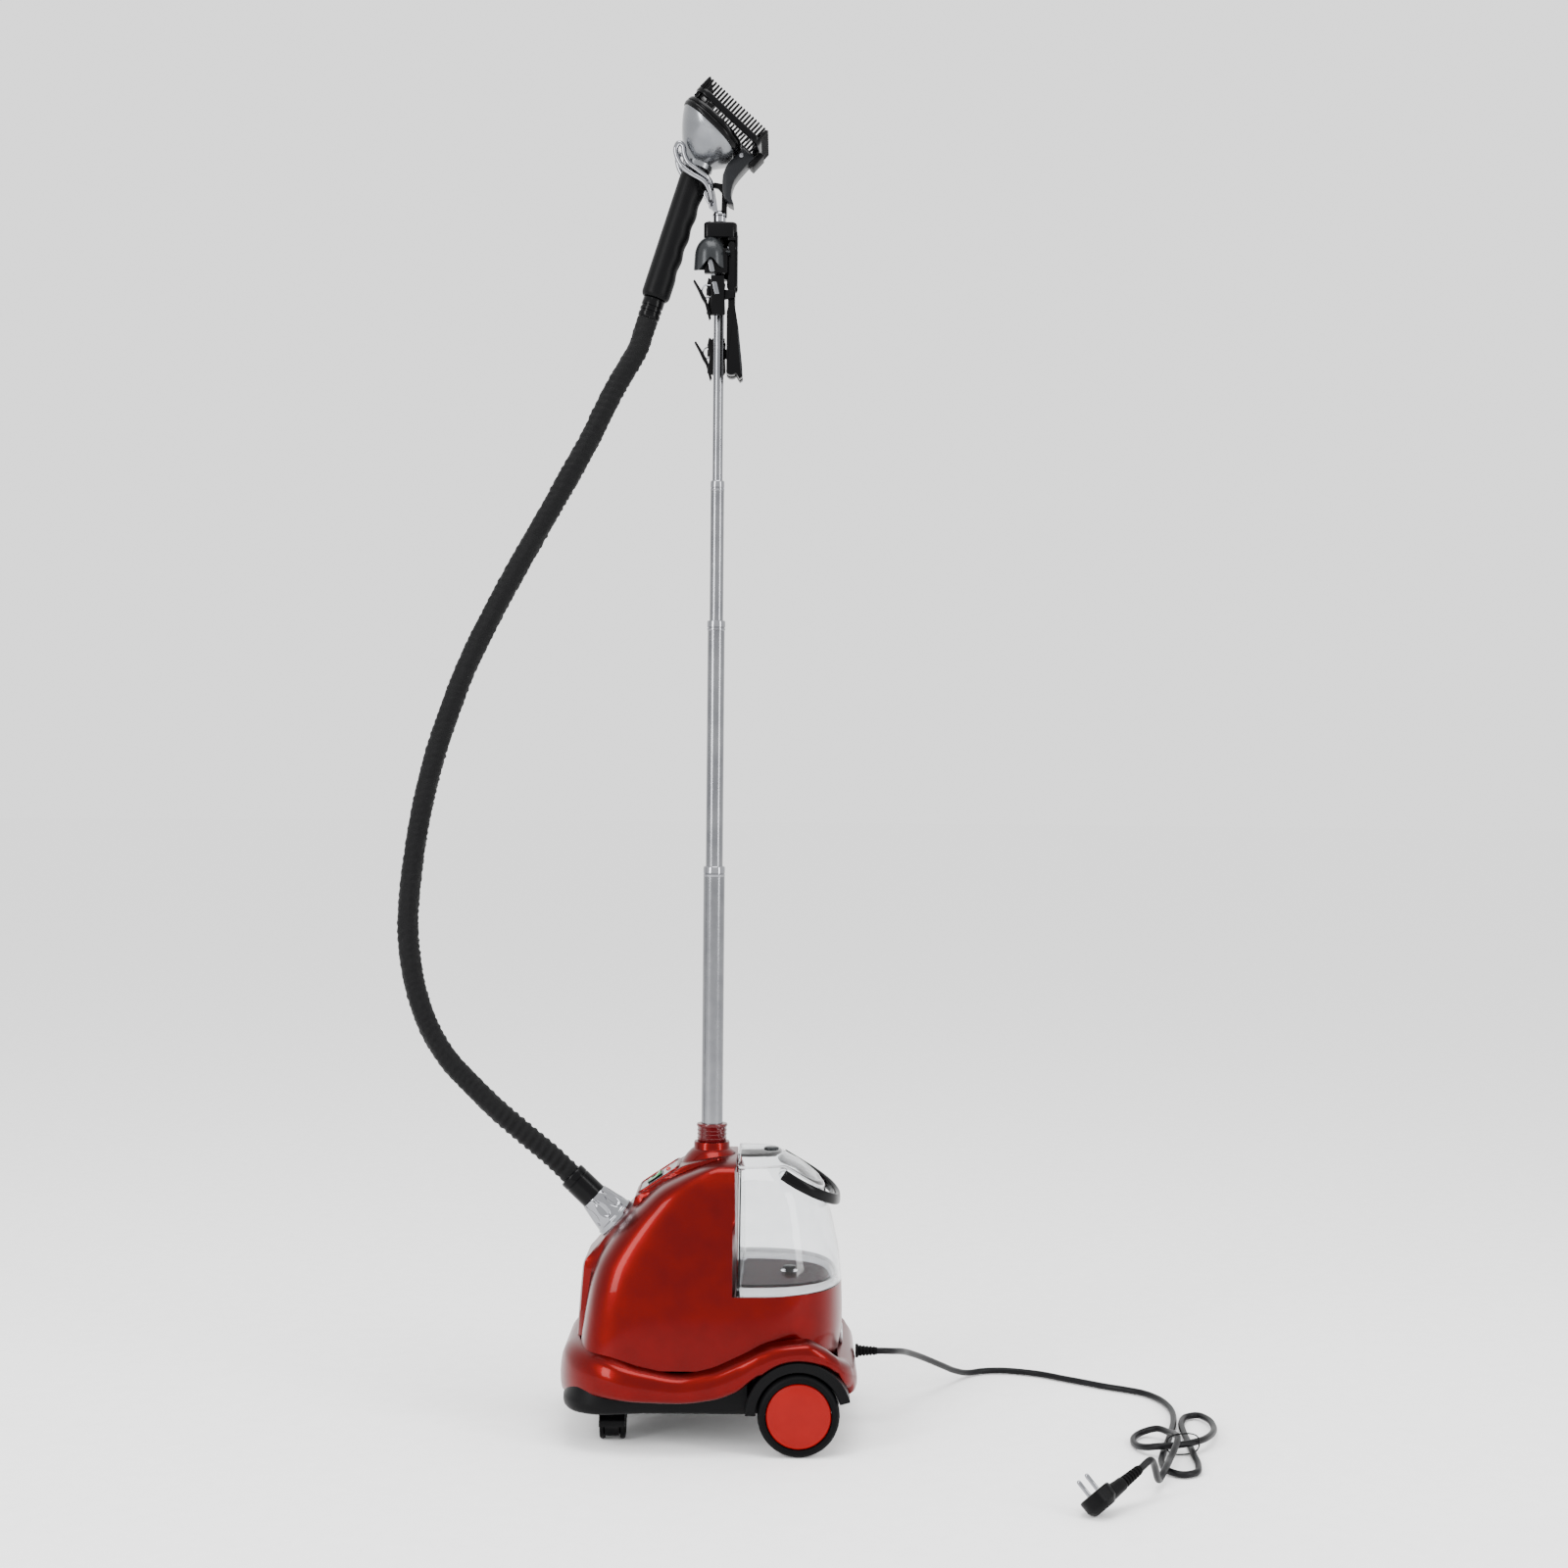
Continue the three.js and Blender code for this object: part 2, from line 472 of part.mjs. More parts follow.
function addTank() {
  const outer = loft(tankRear.map(([height]) => tankRing(height, 0)));
  const floor = TANK_FOOT + TANK_FLOOR;
  const walls = [floor, 34, 55, 73, 86, 100, 114].map((height) => [height, height]);
  const hollow = loft([...walls, ...roofLevels].map(([height, level]) => tankRing(height, TANK_WALL, level)));
  const foot = loft([[0, -1], [TANK_FOOT, TANK_FOOT]].map(([height, level]) => tankRing(height, 5, level)));
  const spoutTop = TANK_FOOT + SPOUT_HEIGHT;
  const spout = turned([[0, TANK_FOOT], [VALVE_RADIUS + 3, TANK_FOOT], [VALVE_RADIUS + 3, spoutTop],
    [0, spoutTop]], 28).translate(VALVE_X, 0, DECK_Z);
  const bore = rod(VALVE_BORE, DECK_Z - 2, DECK_Z + spoutTop + 6, 20, VALVE_X);
  const reach = BAIL_Y - 7;
  const lug = (from, to) => rodY(4, from, to, BAIL_X, DECK_Z + BAIL_RISE, 16);
  const vessel = join(cut(outer, hollow, foot, aboveRim(0)), spout, lug(-reach, -50), lug(50, reach));
  add("tank_shell", "clear", cut(vessel, bore));
  const fill = rod(CAP_RADIUS - 1.5, DECK_Z + 100, DECK_Z + 180, 20, CAP_X);
  add("tank_lid", "clear", cut(overlap(outer, aboveRim(GAP)), hollow, fill));
  const seat = TANK_HEIGHT + GAP;
  add("fill_cap", "grey", turned([[0, TANK_HEIGHT - 9], [CAP_RADIUS - 2, TANK_HEIGHT - 9], [CAP_RADIUS - 2, seat],
    [CAP_RADIUS, seat], [CAP_RADIUS - 1, seat + 2.6], [0, seat + 2.6]], 20).translate(CAP_X, 0, DECK_Z));
  add("tank_valve", "black", turned([[0, -12], [3, -12], [3, 4], [4.5, 6], [4.5, spoutTop + GAP],
    [8, spoutTop + GAP], [8, spoutTop + 4], [0, spoutTop + 6]], 16).translate(VALVE_X, 0, DECK_Z));
}

function addBail() {
  const route = [at(BAIL_X, BAIL_Y, 0), at(104, 71, -12), at(122, 63.5, -22), at(138.5, 44, -31.2),
    at(145.8, 22, -36), at(147.6, 0, -37.2)].map((p) => p.setZ(p.z + DECK_Z + BAIL_RISE));
  const mirrored = route.slice(0, -1).reverse().map((p) => at(p.x, -p.y, p.z));
  const h = BAIL_HALF_HEIGHT;
  const section = outlineOf([[1 - h, -3.5], [h - 1, -3.5], [h, -2], [h, 2], [h - 1, 3.5], [1 - h, 3.5], [-h, 2],
    [-h, -2]]);
  add("tank_bail", "black", new THREE.ExtrudeGeometry(section, {
    extrudePath: new THREE.CatmullRomCurve3([...route, ...mirrored]),
    steps: 20,
    bevelEnabled: false,
  }));
}

// ---- mast --------------------------------------------------------------------------------------------
function addMast() {
  const bottoms = [PAN_FLOOR + 5, ...MAST_TOPS.slice(0, 3).map((top) => top - MAST_OVERLAP)];
  MAST_TOPS.forEach((top, i) => {
    const radius = MAST_RADII[i];
    const bore = radius - TUBE_WALL;
    const foot = i ? MAST_RADII[i - 1] - TUBE_WALL - GAP : radius;
    const mouth = i < 3 ? MAST_RADII[i + 1] + GAP : bore;
    const low = bottoms[i];
    const neck = top - FERRULE_LENGTH;
    const tip = i === 1 ? radius + 0.75 : radius;
    add("mast_section_" + (i + 1), "aluminium", turned([[bore, low], [foot, low], [foot, low + 20],
      [radius, low + 22], [radius, neck - GAP], [tip, neck], [tip, top - 1.5], [tip - 0.8, top], [mouth, top],
      [mouth, neck], [bore, neck - 2]], 20));
  });
  add("mast_collar", "darkRed", turned([[MAST_RADII[0] + GAP, SOCKET_TOP + GAP],
    [COLLAR_RADIUS, SOCKET_TOP + GAP], [COLLAR_RADIUS, COLLAR_TOP - 3], [COLLAR_RADIUS + 1, COLLAR_TOP - 2.4],
    [COLLAR_RADIUS, COLLAR_TOP], [MAST_RADII[0] + GAP, COLLAR_TOP]], 32));
}

// ---- wheels ------------------------------------------------------------------------------------------
function addWheels() {
  const tip = BASE_HALF_WIDTH - 6;
  add("rear_axle", "aluminium", rodY(AXLE_RADIUS, -tip, tip, WHEEL_X, WHEEL_RADIUS, 20));
  for (const [label, side] of wheelSides) {
    const outward = new THREE.Group();
    outward.position.set(WHEEL_X, side * wheelInner, WHEEL_RADIUS);
    outward.rotation.x = (-side * Math.PI) / 2;
    steamer.add(outward);
    const width = WHEEL_WIDTH;
    add("wheel_" + label, "rubber", turned([[HUB_RADIUS + GAP, 2], [WHEEL_RADIUS - 3, 2], [WHEEL_RADIUS, 5],
      [WHEEL_RADIUS, width - 4], [WHEEL_RADIUS - 4, width], [HUB_RADIUS + GAP, width]], 36), outward);
    add("hub_cap_" + label, "red", cut(turned([[0, 3], [HUB_RADIUS, 3], [HUB_RADIUS, width - 3],
      [HUB_RADIUS - 2, width - 1], [20, width + 0.5], [0, width + 1]], 36), rod(AXLE_RADIUS + GAP, 0,
      width - 5, 20)), outward);
  }
}

function addCasters() {
  const tread = CASTER_WIDTH / 2;
  const web = 8.2;
  for (const [label, side] of wheelSides) {
    const pivot = new THREE.Group();
    pivot.position.set(CASTER_X, side * CASTER_Y, 0);
    steamer.add(pivot);
    const roof = cut(rodX(CASTER_RADIUS + 4, -tread, tread, CASTER_TRAIL, CASTER_RADIUS, 20),
      rodX(CASTER_RADIUS + 0.8, -tread - 1, tread + 1, CASTER_TRAIL, CASTER_RADIUS, 20),
      block([-30, -40, -30], [30, 60, CASTER_RADIUS]));
    const spine = cut(rodX(CASTER_RADIUS + 2, -web, web, CASTER_TRAIL, CASTER_RADIUS, 20),
      block([-30, -40, -30], [30, 60, 9]));
    add("caster_hood_" + label, "black", cut(join(roof, spine, rod(3.5, 30, 58, 16)),
      rodX(2.3, -20, 20, CASTER_TRAIL, CASTER_RADIUS, 14)), pivot);
    const disc = (from, to) => rodX(CASTER_RADIUS, from, to, CASTER_TRAIL, CASTER_RADIUS, 20);
    add("caster_wheels_" + label, "rubber", join(disc(web + GAP, tread - 0.5), disc(0.5 - tread, -web - GAP),
      rodX(2, -12, 12, CASTER_TRAIL, CASTER_RADIUS, 14)), pivot);
  }
}

// ---- mast head: bracket, folding arms, trouser clips, cradle -----------------------------------------
function addMastHead() {
  const sleeve = rod(10, 1338, 1386, 24);
  const plate = block([-18, -18, 1384], [24, 18, BRACKET_TOP]);
  const cheek = block([21.6, -17, 1326], [24, 17, 1386]);
  add("hanger_bracket", "black", cut(join(sleeve, plate, cheek), rod(MAST_RADII[3] + GAP, 1330, 1400 + GAP, 24)));
  const dome = overlap(
    new THREE.SphereGeometry(1, 24, 14).scale(18.5, 21, 40).translate(-10.5, -10.4, 1343),
    block([-40, -40, 1350], [40, -10.4, 1383.6]),
  );
  add("hinge_cover", "grey", dome);
  addArms();
  addCradle();
}

function addArms() {
  const tip = ARM_PIVOT_Z - ARM_LENGTH;
  for (const [label, side] of wheelSides) {
    const outline = [[ARM_FRONT, tip + 6], [14, tip + 8], [20, tip + 7], [25, tip], [29, tip + 3], [25, tip + 60],
      [21.2, tip + 84], [21.2, ARM_PIVOT_Z + 7], [11, ARM_PIVOT_Z + 7], [11, tip + 84], [ARM_FRONT, tip + 78]];
    const low = side * ARM_OFFSET - ARM_THICKNESS / 2;
    add("hanger_arm_" + label, "black", sideSlab(outline, low, low + ARM_THICKNESS));
    addClip(label, side);
  }
}

// A trouser clip: a fixed jaw on the arm and a sprung jaw that turns on it.
function addClip(label, side) {
  const z = ARM_PIVOT_Z - CLIP_DROP[label];
  const inner = ARM_OFFSET + ARM_THICKNESS / 2 + GAP;
  const flank = (low, high) => (side < 0 ? [-high, -low] : [low, high]);
  const [y0, y1] = flank(inner, inner + 4);
  const [stop0, stop1] = flank(inner + 3, inner + 9);
  const fixed = join(
    block([CLIP_WIDTH - 36, y0, z - 24], [8, y1, z + 20]),
    block([6, y0, z - 6], [20, y1, z + 6]),
    block([CLIP_WIDTH - 36, stop0, z - 2], [CLIP_WIDTH - 32, stop1, z + 6]),
  );
  add("clip_body_" + label, "black", fixed);
  const lean = [[inner + 4.4, z - 24], [inner + 7, z - 24], [inner + 8, z - 4], [inner + 13, z + 20],
    [inner + 10.5, z + 21], [inner + 5, z + 2]];
  const jaw = new THREE.ExtrudeGeometry(outlineOf(lean), { depth: CLIP_WIDTH - 6, bevelEnabled: false })
    .rotateX(Math.PI / 2)
    .rotateZ(Math.PI / 2)
    .translate(-9, 0, 0);
  add("clip_jaw_" + label, "silver", side < 0 ? jaw.rotateZ(Math.PI).translate(-1, 0, 0) : jaw);
}

function addCradle() {
  const stub = turned([[0, BRACKET_TOP + GAP], [8.5, BRACKET_TOP + GAP], [8.5, 1415], [7, 1419], [0, 1419]]);
  const bar = rodY(3.5, -PRONG_Y, PRONG_Y, 0, 1417.5, 12);
  const prong = (side) => hoseAlong([at(0, side * PRONG_Y, 1417.5), at(-1, side * PRONG_Y, 1427),
    at(-7, side * PRONG_Y, 1438), at(-18, side * PRONG_Y, 1450), at(-34, side * PRONG_Y, 1461.5),
    at(-45, side * PRONG_Y, 1473), at(-50, side * (PRONG_Y - 1), 1485), at(-47.5, side * (PRONG_Y - 3), 1493)],
  3.4, 8, 14);
  add("cradle_fork", "chrome", join(stub, bar, prong(-1), prong(1)));
}

// ---- handset -----------------------------------------------------------------------------------------
const handset = new THREE.Group();
handset.position.copy(HANDSET_FOOT);
handset.rotation.y = rad(HANDSET_TILT);
steamer.add(handset);

// A frame in the handset whose Z is the steam face's normal; X runs down the face.
const faceFrame = new THREE.Matrix4()
  .makeRotationY(rad(FACE_TILT))
  .setPosition(FACE_CENTRE[0], 0, FACE_CENTRE[1]);

const facePlan = (inset, z, steps = 4) =>
  roundedPlan(-FACE_LENGTH / 2 + inset, FACE_LENGTH / 2 - inset, FACE_WIDTH / 2 - inset, 34 - inset, 34 - inset,
    steps).map(([x, y]) => [x, y, z]);

function addHandset() {
  const grip = turned([[0, 0], [15, 0], [GRIP_RADIUS - 0.5, 4], [GRIP_RADIUS, 40], [GRIP_RADIUS - 1.4, 70],
    [GRIP_RADIUS, 96], [GRIP_RADIUS - 1.2, 120], [GRIP_RADIUS, GRIP_LENGTH - 4], [15.5, GRIP_LENGTH],
    [15.5, NECK_TOP], [0, NECK_TOP]], 28);
  add("handset_grip", "black", grip, handset);
  add("handset_hose_collar", "black", turned([[0, -25], [11.5, -25], [13, -22], [13, -GAP], [0, -GAP]], 24),
    handset);
  const ring = (radius, z) => facePlan(0, 0).map(([x, y]) => {
    const turn = Math.atan2(y, x);
    return [radius * Math.cos(turn), radius * Math.sin(turn), z];
  });
  const rim = facePlan(1.5, -GAP).map((p) => at(...p).applyMatrix4(faceFrame).toArray());
  const between = (a, b, share, swell) => a.map((p, i) => p.map((v, k) => v + (b[i][k] - v) * share
    + (k < 2 ? (v - (k ? 0 : 1)) * swell : 0)));
  const neck = ring(15.8, NECK_TOP + GAP);
  const throat = ring(17.2, NECK_TOP + 9);
  add("handset_cup", "silver", loft([neck, throat, between(throat, rim, 0.3, 0.1), between(throat, rim, 0.6, 0.14),
    between(throat, rim, 0.85, 0.08), rim]), handset);
  const bezel = cut(loft([facePlan(0, 0), facePlan(-1, 4), facePlan(-1, 8), facePlan(1, BEZEL_DEPTH)]),
    loft([facePlan(12, 3), facePlan(12, BEZEL_DEPTH + 1)]));
  add("handset_bezel", "black", bezel.applyMatrix4(faceFrame), handset);
  const holes = [-24, -12, 0, 12, 24].map((y) => rod(2, -1, 20, 10, 0, y));
  add("steam_plate", "aluminium", cut(loft([facePlan(12 + GAP, 3 + GAP), facePlan(12 + GAP, 9),
    facePlan(14, BEZEL_DEPTH)]), ...holes).applyMatrix4(faceFrame), handset);
  addBrush();
  addClamp();
}

// The brush attachment: a frame on posts over the face, carrying rows of teeth.
const BRUSH_BACK = BEZEL_DEPTH + GAP;

function addBrush() {
  const wide = FACE_WIDTH / 2 - 2;
  const plan = (inset, z) => roundedPlan(BRUSH_LOW + inset, BRUSH_HIGH - inset, wide - inset, 18 - inset, 10, 3)
    .map(([x, y]) => [x, y, z]);
  const front = BRUSH_BACK + BRUSH_PLATE;
  const frame = cut(loft([plan(2, BRUSH_BACK), plan(0, BRUSH_BACK + 2), plan(0, front)]),
    loft([plan(9, BRUSH_BACK - 1), plan(9, front + 1)]));
  const comb = (side) => block([BRUSH_LOW + 12, side * (wide - 4) - 1.5, front - 1],
    [BRUSH_HIGH - 6, side * (wide - 4) + 1.5, front + TOOTH_LENGTH]);
  add("brush_frame", "black", join(frame, comb(-1), comb(1)).applyMatrix4(faceFrame), handset);
}

// The fabric clamp's lever: pivoted at the lower end of the bezel, bent back towards the grip.
function addClamp() {
  const start = FACE_LENGTH / 2 + 1.8;
  const outline = [[start, BEZEL_DEPTH - 0.2], [start, -16], [46, -25], [51.8, -32.7], [59, -40.5],
    [66.5, -45.7], [80.6, -43.5], [70, -38], [64.4, -29.7], [59.8, -17], [59.7, 1.7], [67, 3.5],
    [67, BRUSH_BACK + 9], [BRUSH_HIGH + 2 * GAP, BRUSH_BACK + 9], [BRUSH_HIGH + 2 * GAP, BEZEL_DEPTH - 0.2]];
  add("clamp_lever", "grey", sideSlab(outline, -CLAMP_HALF_WIDTH, CLAMP_HALF_WIDTH).applyMatrix4(faceFrame),
    handset);
}

// ---- steam hose --------------------------------------------------------------------------------------
function addHose() {
  const up = at(Math.sin(rad(HANDSET_TILT)), 0, Math.cos(rad(HANDSET_TILT)));
  const below = (distance) => HANDSET_FOOT.clone().addScaledVector(up, -distance);
  const route = [alongNut(CUFF_END + 0.5), at(-186, 0, 308), at(-220.5, 0, 336.5), at(-255, 0, 365.5),
    at(-289.5, 0, 399), at(-312, 0, 424.5), at(-332, 0, 457), at(-345, 0, 491), at(-353.5, 0, 526),
    at(-358, 0, 561), at(-358.5, 0, 596), at(-352, 0, 664), at(-340, 0, 733), at(-321.5, 0, 802),
    at(-297, 0, 871.5), at(-264.5, 0, 941), at(-228, 0, 1010), at(-189, 0, 1079.5), at(-151.5, 0, 1148.5),
    at(-120, 0, 1212), below(62), below(44), below(26.2)];
  add("steam_hose", "sheath", hoseAlong(route, HOSE_DIAMETER / 2, 10, 30));
}

// ---- mains lead and plug -----------------------------------------------------------------------------
const LEAD_RADIUS = LEAD_DIAMETER / 2;

function addMainsLead() {
  const exit = BASE_HALF_LENGTH + 26;
  add("cord_gland", "black", turned([[0, 0], [8, 0], [8, 3], [6.5, 4], [4.6, 25.4], [0, 25.4]], 20)
    .rotateY(Math.PI / 2).translate(BASE_HALF_LENGTH + GAP, 0, LEAD_EXIT_Z));
  const floor = LEAD_RADIUS + 0.4;
  const route = [at(exit + GAP, 0, LEAD_EXIT_Z), at(exit + 7, 0, LEAD_EXIT_Z), at(213, 7, 82), at(224, 26, 77),
    at(234, 52, 69), at(254, 94, 52.5), at(281, 139, 31), at(302, 174, 14.5), at(320, 199, 5.5),
    at(340, 213, floor), at(366, 216, floor), at(409, 202, floor), at(438, 181, floor), at(467, 160, floor),
    at(486, 146, floor), at(508, 133, floor), at(529, 117, floor), at(543, 92, floor), at(549, 62, floor),
    at(551, 32, floor)];
  add("mains_lead", "rubber", hoseAlong(route, LEAD_RADIUS, 8, 36));
}

function addHank() {
  const r = HANK_HALF_WIDTH;
  const outline = [];
  for (const end of [1, -1])
    for (let i = 0; i <= 8; i++) {
      const turn = (i / 8) * Math.PI + (end < 0 ? Math.PI : 0);
      outline.push([r * Math.cos(turn), end * (HANK_HALF_LENGTH - r) + r * Math.sin(turn)]);
    }
  const solidHank = planSlab(outline, 0.2, LEAD_DIAMETER * 2.4);
  const slot = planSlab([[-60, -7], [60, -7], [60, 7], [-60, 7]], LEAD_DIAMETER * 1.9, 40);
  const place = (geometry) => geometry.rotateZ(rad(HANK_TILT)).translate(HANK_CENTRE[0], HANK_CENTRE[1], 0);
  add("cord_hank", "rubber", place(cut(solidHank, slot)));
  add("cord_tie", "black", place(block([-r + 6, -3, LEAD_DIAMETER * 1.9 + GAP], [r - 6, 3,
    LEAD_DIAMETER * 2.4 + 1])));
}

function addPlug() {
  const pins = at(-0.61, 0.33, 0.72).normalize();
  const across = at(-0.32, 0.73, -0.61);
  across.addScaledVector(pins, -across.dot(pins)).normalize();
  const arm = across.clone().cross(pins).normalize();
  const lay = new THREE.Matrix4().makeBasis(arm, across, pins);
  const plug = new THREE.Group();
  const body = join(
    turned([[0, -20], [12, -20], [PLUG_RADIUS - 1, -14], [PLUG_RADIUS, -2], [PLUG_RADIUS, 0], [0, 0]], 32),
    rodX(9, 0, PLUG_ARM, 0, -11, 20),
  );
  const relief = rod(5.5, 0, RELIEF_LENGTH, 16).rotateY(Math.PI / 2).translate(PLUG_ARM + GAP, 0, -11);
  add("plug_body", "black", body.applyMatrix4(lay), plug);
  [-1, 1].forEach((side, i) => add("plug_pin_" + (i + 1), "chrome",
    turned([[0, GAP], [2.4, GAP], [2.4, PIN_LENGTH - 1.5], [1.2, PIN_LENGTH], [0, PIN_LENGTH]], 14)
      .translate(0, (side * PIN_SPACING) / 2, 0).applyMatrix4(lay), plug));
  add("plug_strain_relief", "black", relief.applyMatrix4(lay), plug);
  const lowest = new THREE.Box3().setFromObject(plug).min.z;
  plug.position.set(405, -318, -lowest);
  steamer.add(plug);
  const start = at(PLUG_ARM + RELIEF_LENGTH + 2 * GAP, 0, -11).applyMatrix4(lay).add(plug.position);
  const ahead = (distance) => start.clone().addScaledVector(arm, distance);
  const floor = LEAD_RADIUS + 0.4;
  const hankEnd = (distance) => at(0, -HANK_HALF_LENGTH - distance, floor)
    .applyAxisAngle(at(0, 0, 1), rad(HANK_TILT)).add(at(...HANK_CENTRE, 0));
  const sag = (share, z) => start.clone().lerp(hankEnd(20), share).setZ(z);
  const route = [start, ahead(5), sag(0.3, 33), sag(0.6, 19), sag(0.85, 8), hankEnd(16).setZ(floor + 0.6),
    hankEnd(8), hankEnd(0.6)];
  add("plug_lead", "rubber", hoseAlong(route, LEAD_RADIUS, 8, 24));
}

addPan();
addSkirt();
addShell();
addPanel();
addSteamCircuit();
addHoseConnection();
addTank();
addBail();
addMast();
addWheels();
addCasters();
addMastHead();
addHandset();
addHose();
addMainsLead();
addHank();
addPlug();

export default steamer;
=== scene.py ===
"""Upright garment steamer: the finished surface of every piece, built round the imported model's frame.

Pieces are drawn in millimetres, +Z up, and become metres when they are made. The mast stands on the Z axis,
the hose leaves towards -X and the water tank is at +X.
"""

import logging
import math
from dataclasses import dataclass, field
from enum import Enum
from typing import Callable, Sequence

import bmesh
import bpy
from mathutils import Matrix, Vector, noise


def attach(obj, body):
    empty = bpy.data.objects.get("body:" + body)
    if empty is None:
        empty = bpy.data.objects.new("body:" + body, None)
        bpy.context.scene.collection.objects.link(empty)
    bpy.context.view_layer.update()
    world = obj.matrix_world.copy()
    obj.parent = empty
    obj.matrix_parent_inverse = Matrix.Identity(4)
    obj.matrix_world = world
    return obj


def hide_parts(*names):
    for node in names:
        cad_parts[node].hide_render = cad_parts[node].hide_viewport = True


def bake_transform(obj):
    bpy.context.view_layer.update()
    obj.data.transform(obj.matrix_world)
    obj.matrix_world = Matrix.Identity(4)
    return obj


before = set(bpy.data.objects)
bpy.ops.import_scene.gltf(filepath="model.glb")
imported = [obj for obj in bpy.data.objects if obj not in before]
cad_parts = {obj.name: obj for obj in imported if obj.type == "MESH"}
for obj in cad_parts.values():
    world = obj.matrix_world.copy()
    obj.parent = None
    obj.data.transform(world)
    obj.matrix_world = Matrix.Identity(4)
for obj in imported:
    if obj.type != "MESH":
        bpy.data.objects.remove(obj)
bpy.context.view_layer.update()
log = logging.getLogger("steamer")

MM = 0.001

Pair = tuple[float, float]
Point = tuple[float, float, float]
Ring = list[Vector]


# ---- nodes and finishes ------------------------------------------------------------------------------
def linear(hex_colour: str) -> tuple[float, float, float, float]:
    """Turns an sRGB colour into the linear values that a shader takes.

    Args:
        hex_colour: A colour such as "#9c0d0d".

    Returns:
        Linear red, green and blue, and an alpha of 1.
    """
    parts = [int(hex_colour[i:i + 2], 16) / 255 for i in (1, 3, 5)]
    red, green, blue = [c / 12.92 if c <= 0.04045 else ((c + 0.055) / 1.055) ** 2.4 for c in parts]
    return red, green, blue, 1.0


def add_node(tree: bpy.types.NodeTree, kind: str, inputs: dict | None = None,
             **settings: object) -> bpy.types.Node:
    """Adds a node with its settings, values and links.

    Args:
        tree: The tree that the node goes into.
        kind: The node's type name.
        inputs: Input name or number to a value, or to the output socket that feeds it.
        **settings: Properties of the node.

    Returns:
        The new node.
    """
    node = tree.nodes.new(kind)
    for key, value in settings.items():
        setattr(node, key, value)
    for key, value in (inputs or {}).items():
        if isinstance(value, bpy.types.NodeSocket):
            tree.links.new(value, node.inputs[key])
        else:
            node.inputs[key].default_value = value
    return node


class Weave(Enum):
    """The relief that a finish carries."""

    PLAIN = "plain"  # polished or lacquered: only a long, shallow waviness
    GRAIN = "grain"  # spark-eroded mould texture
    DRAWN = "drawn"  # lines along Z from drawing a tube
    CLOTH = "cloth"  # over-and-under threads along the piece's own UV map


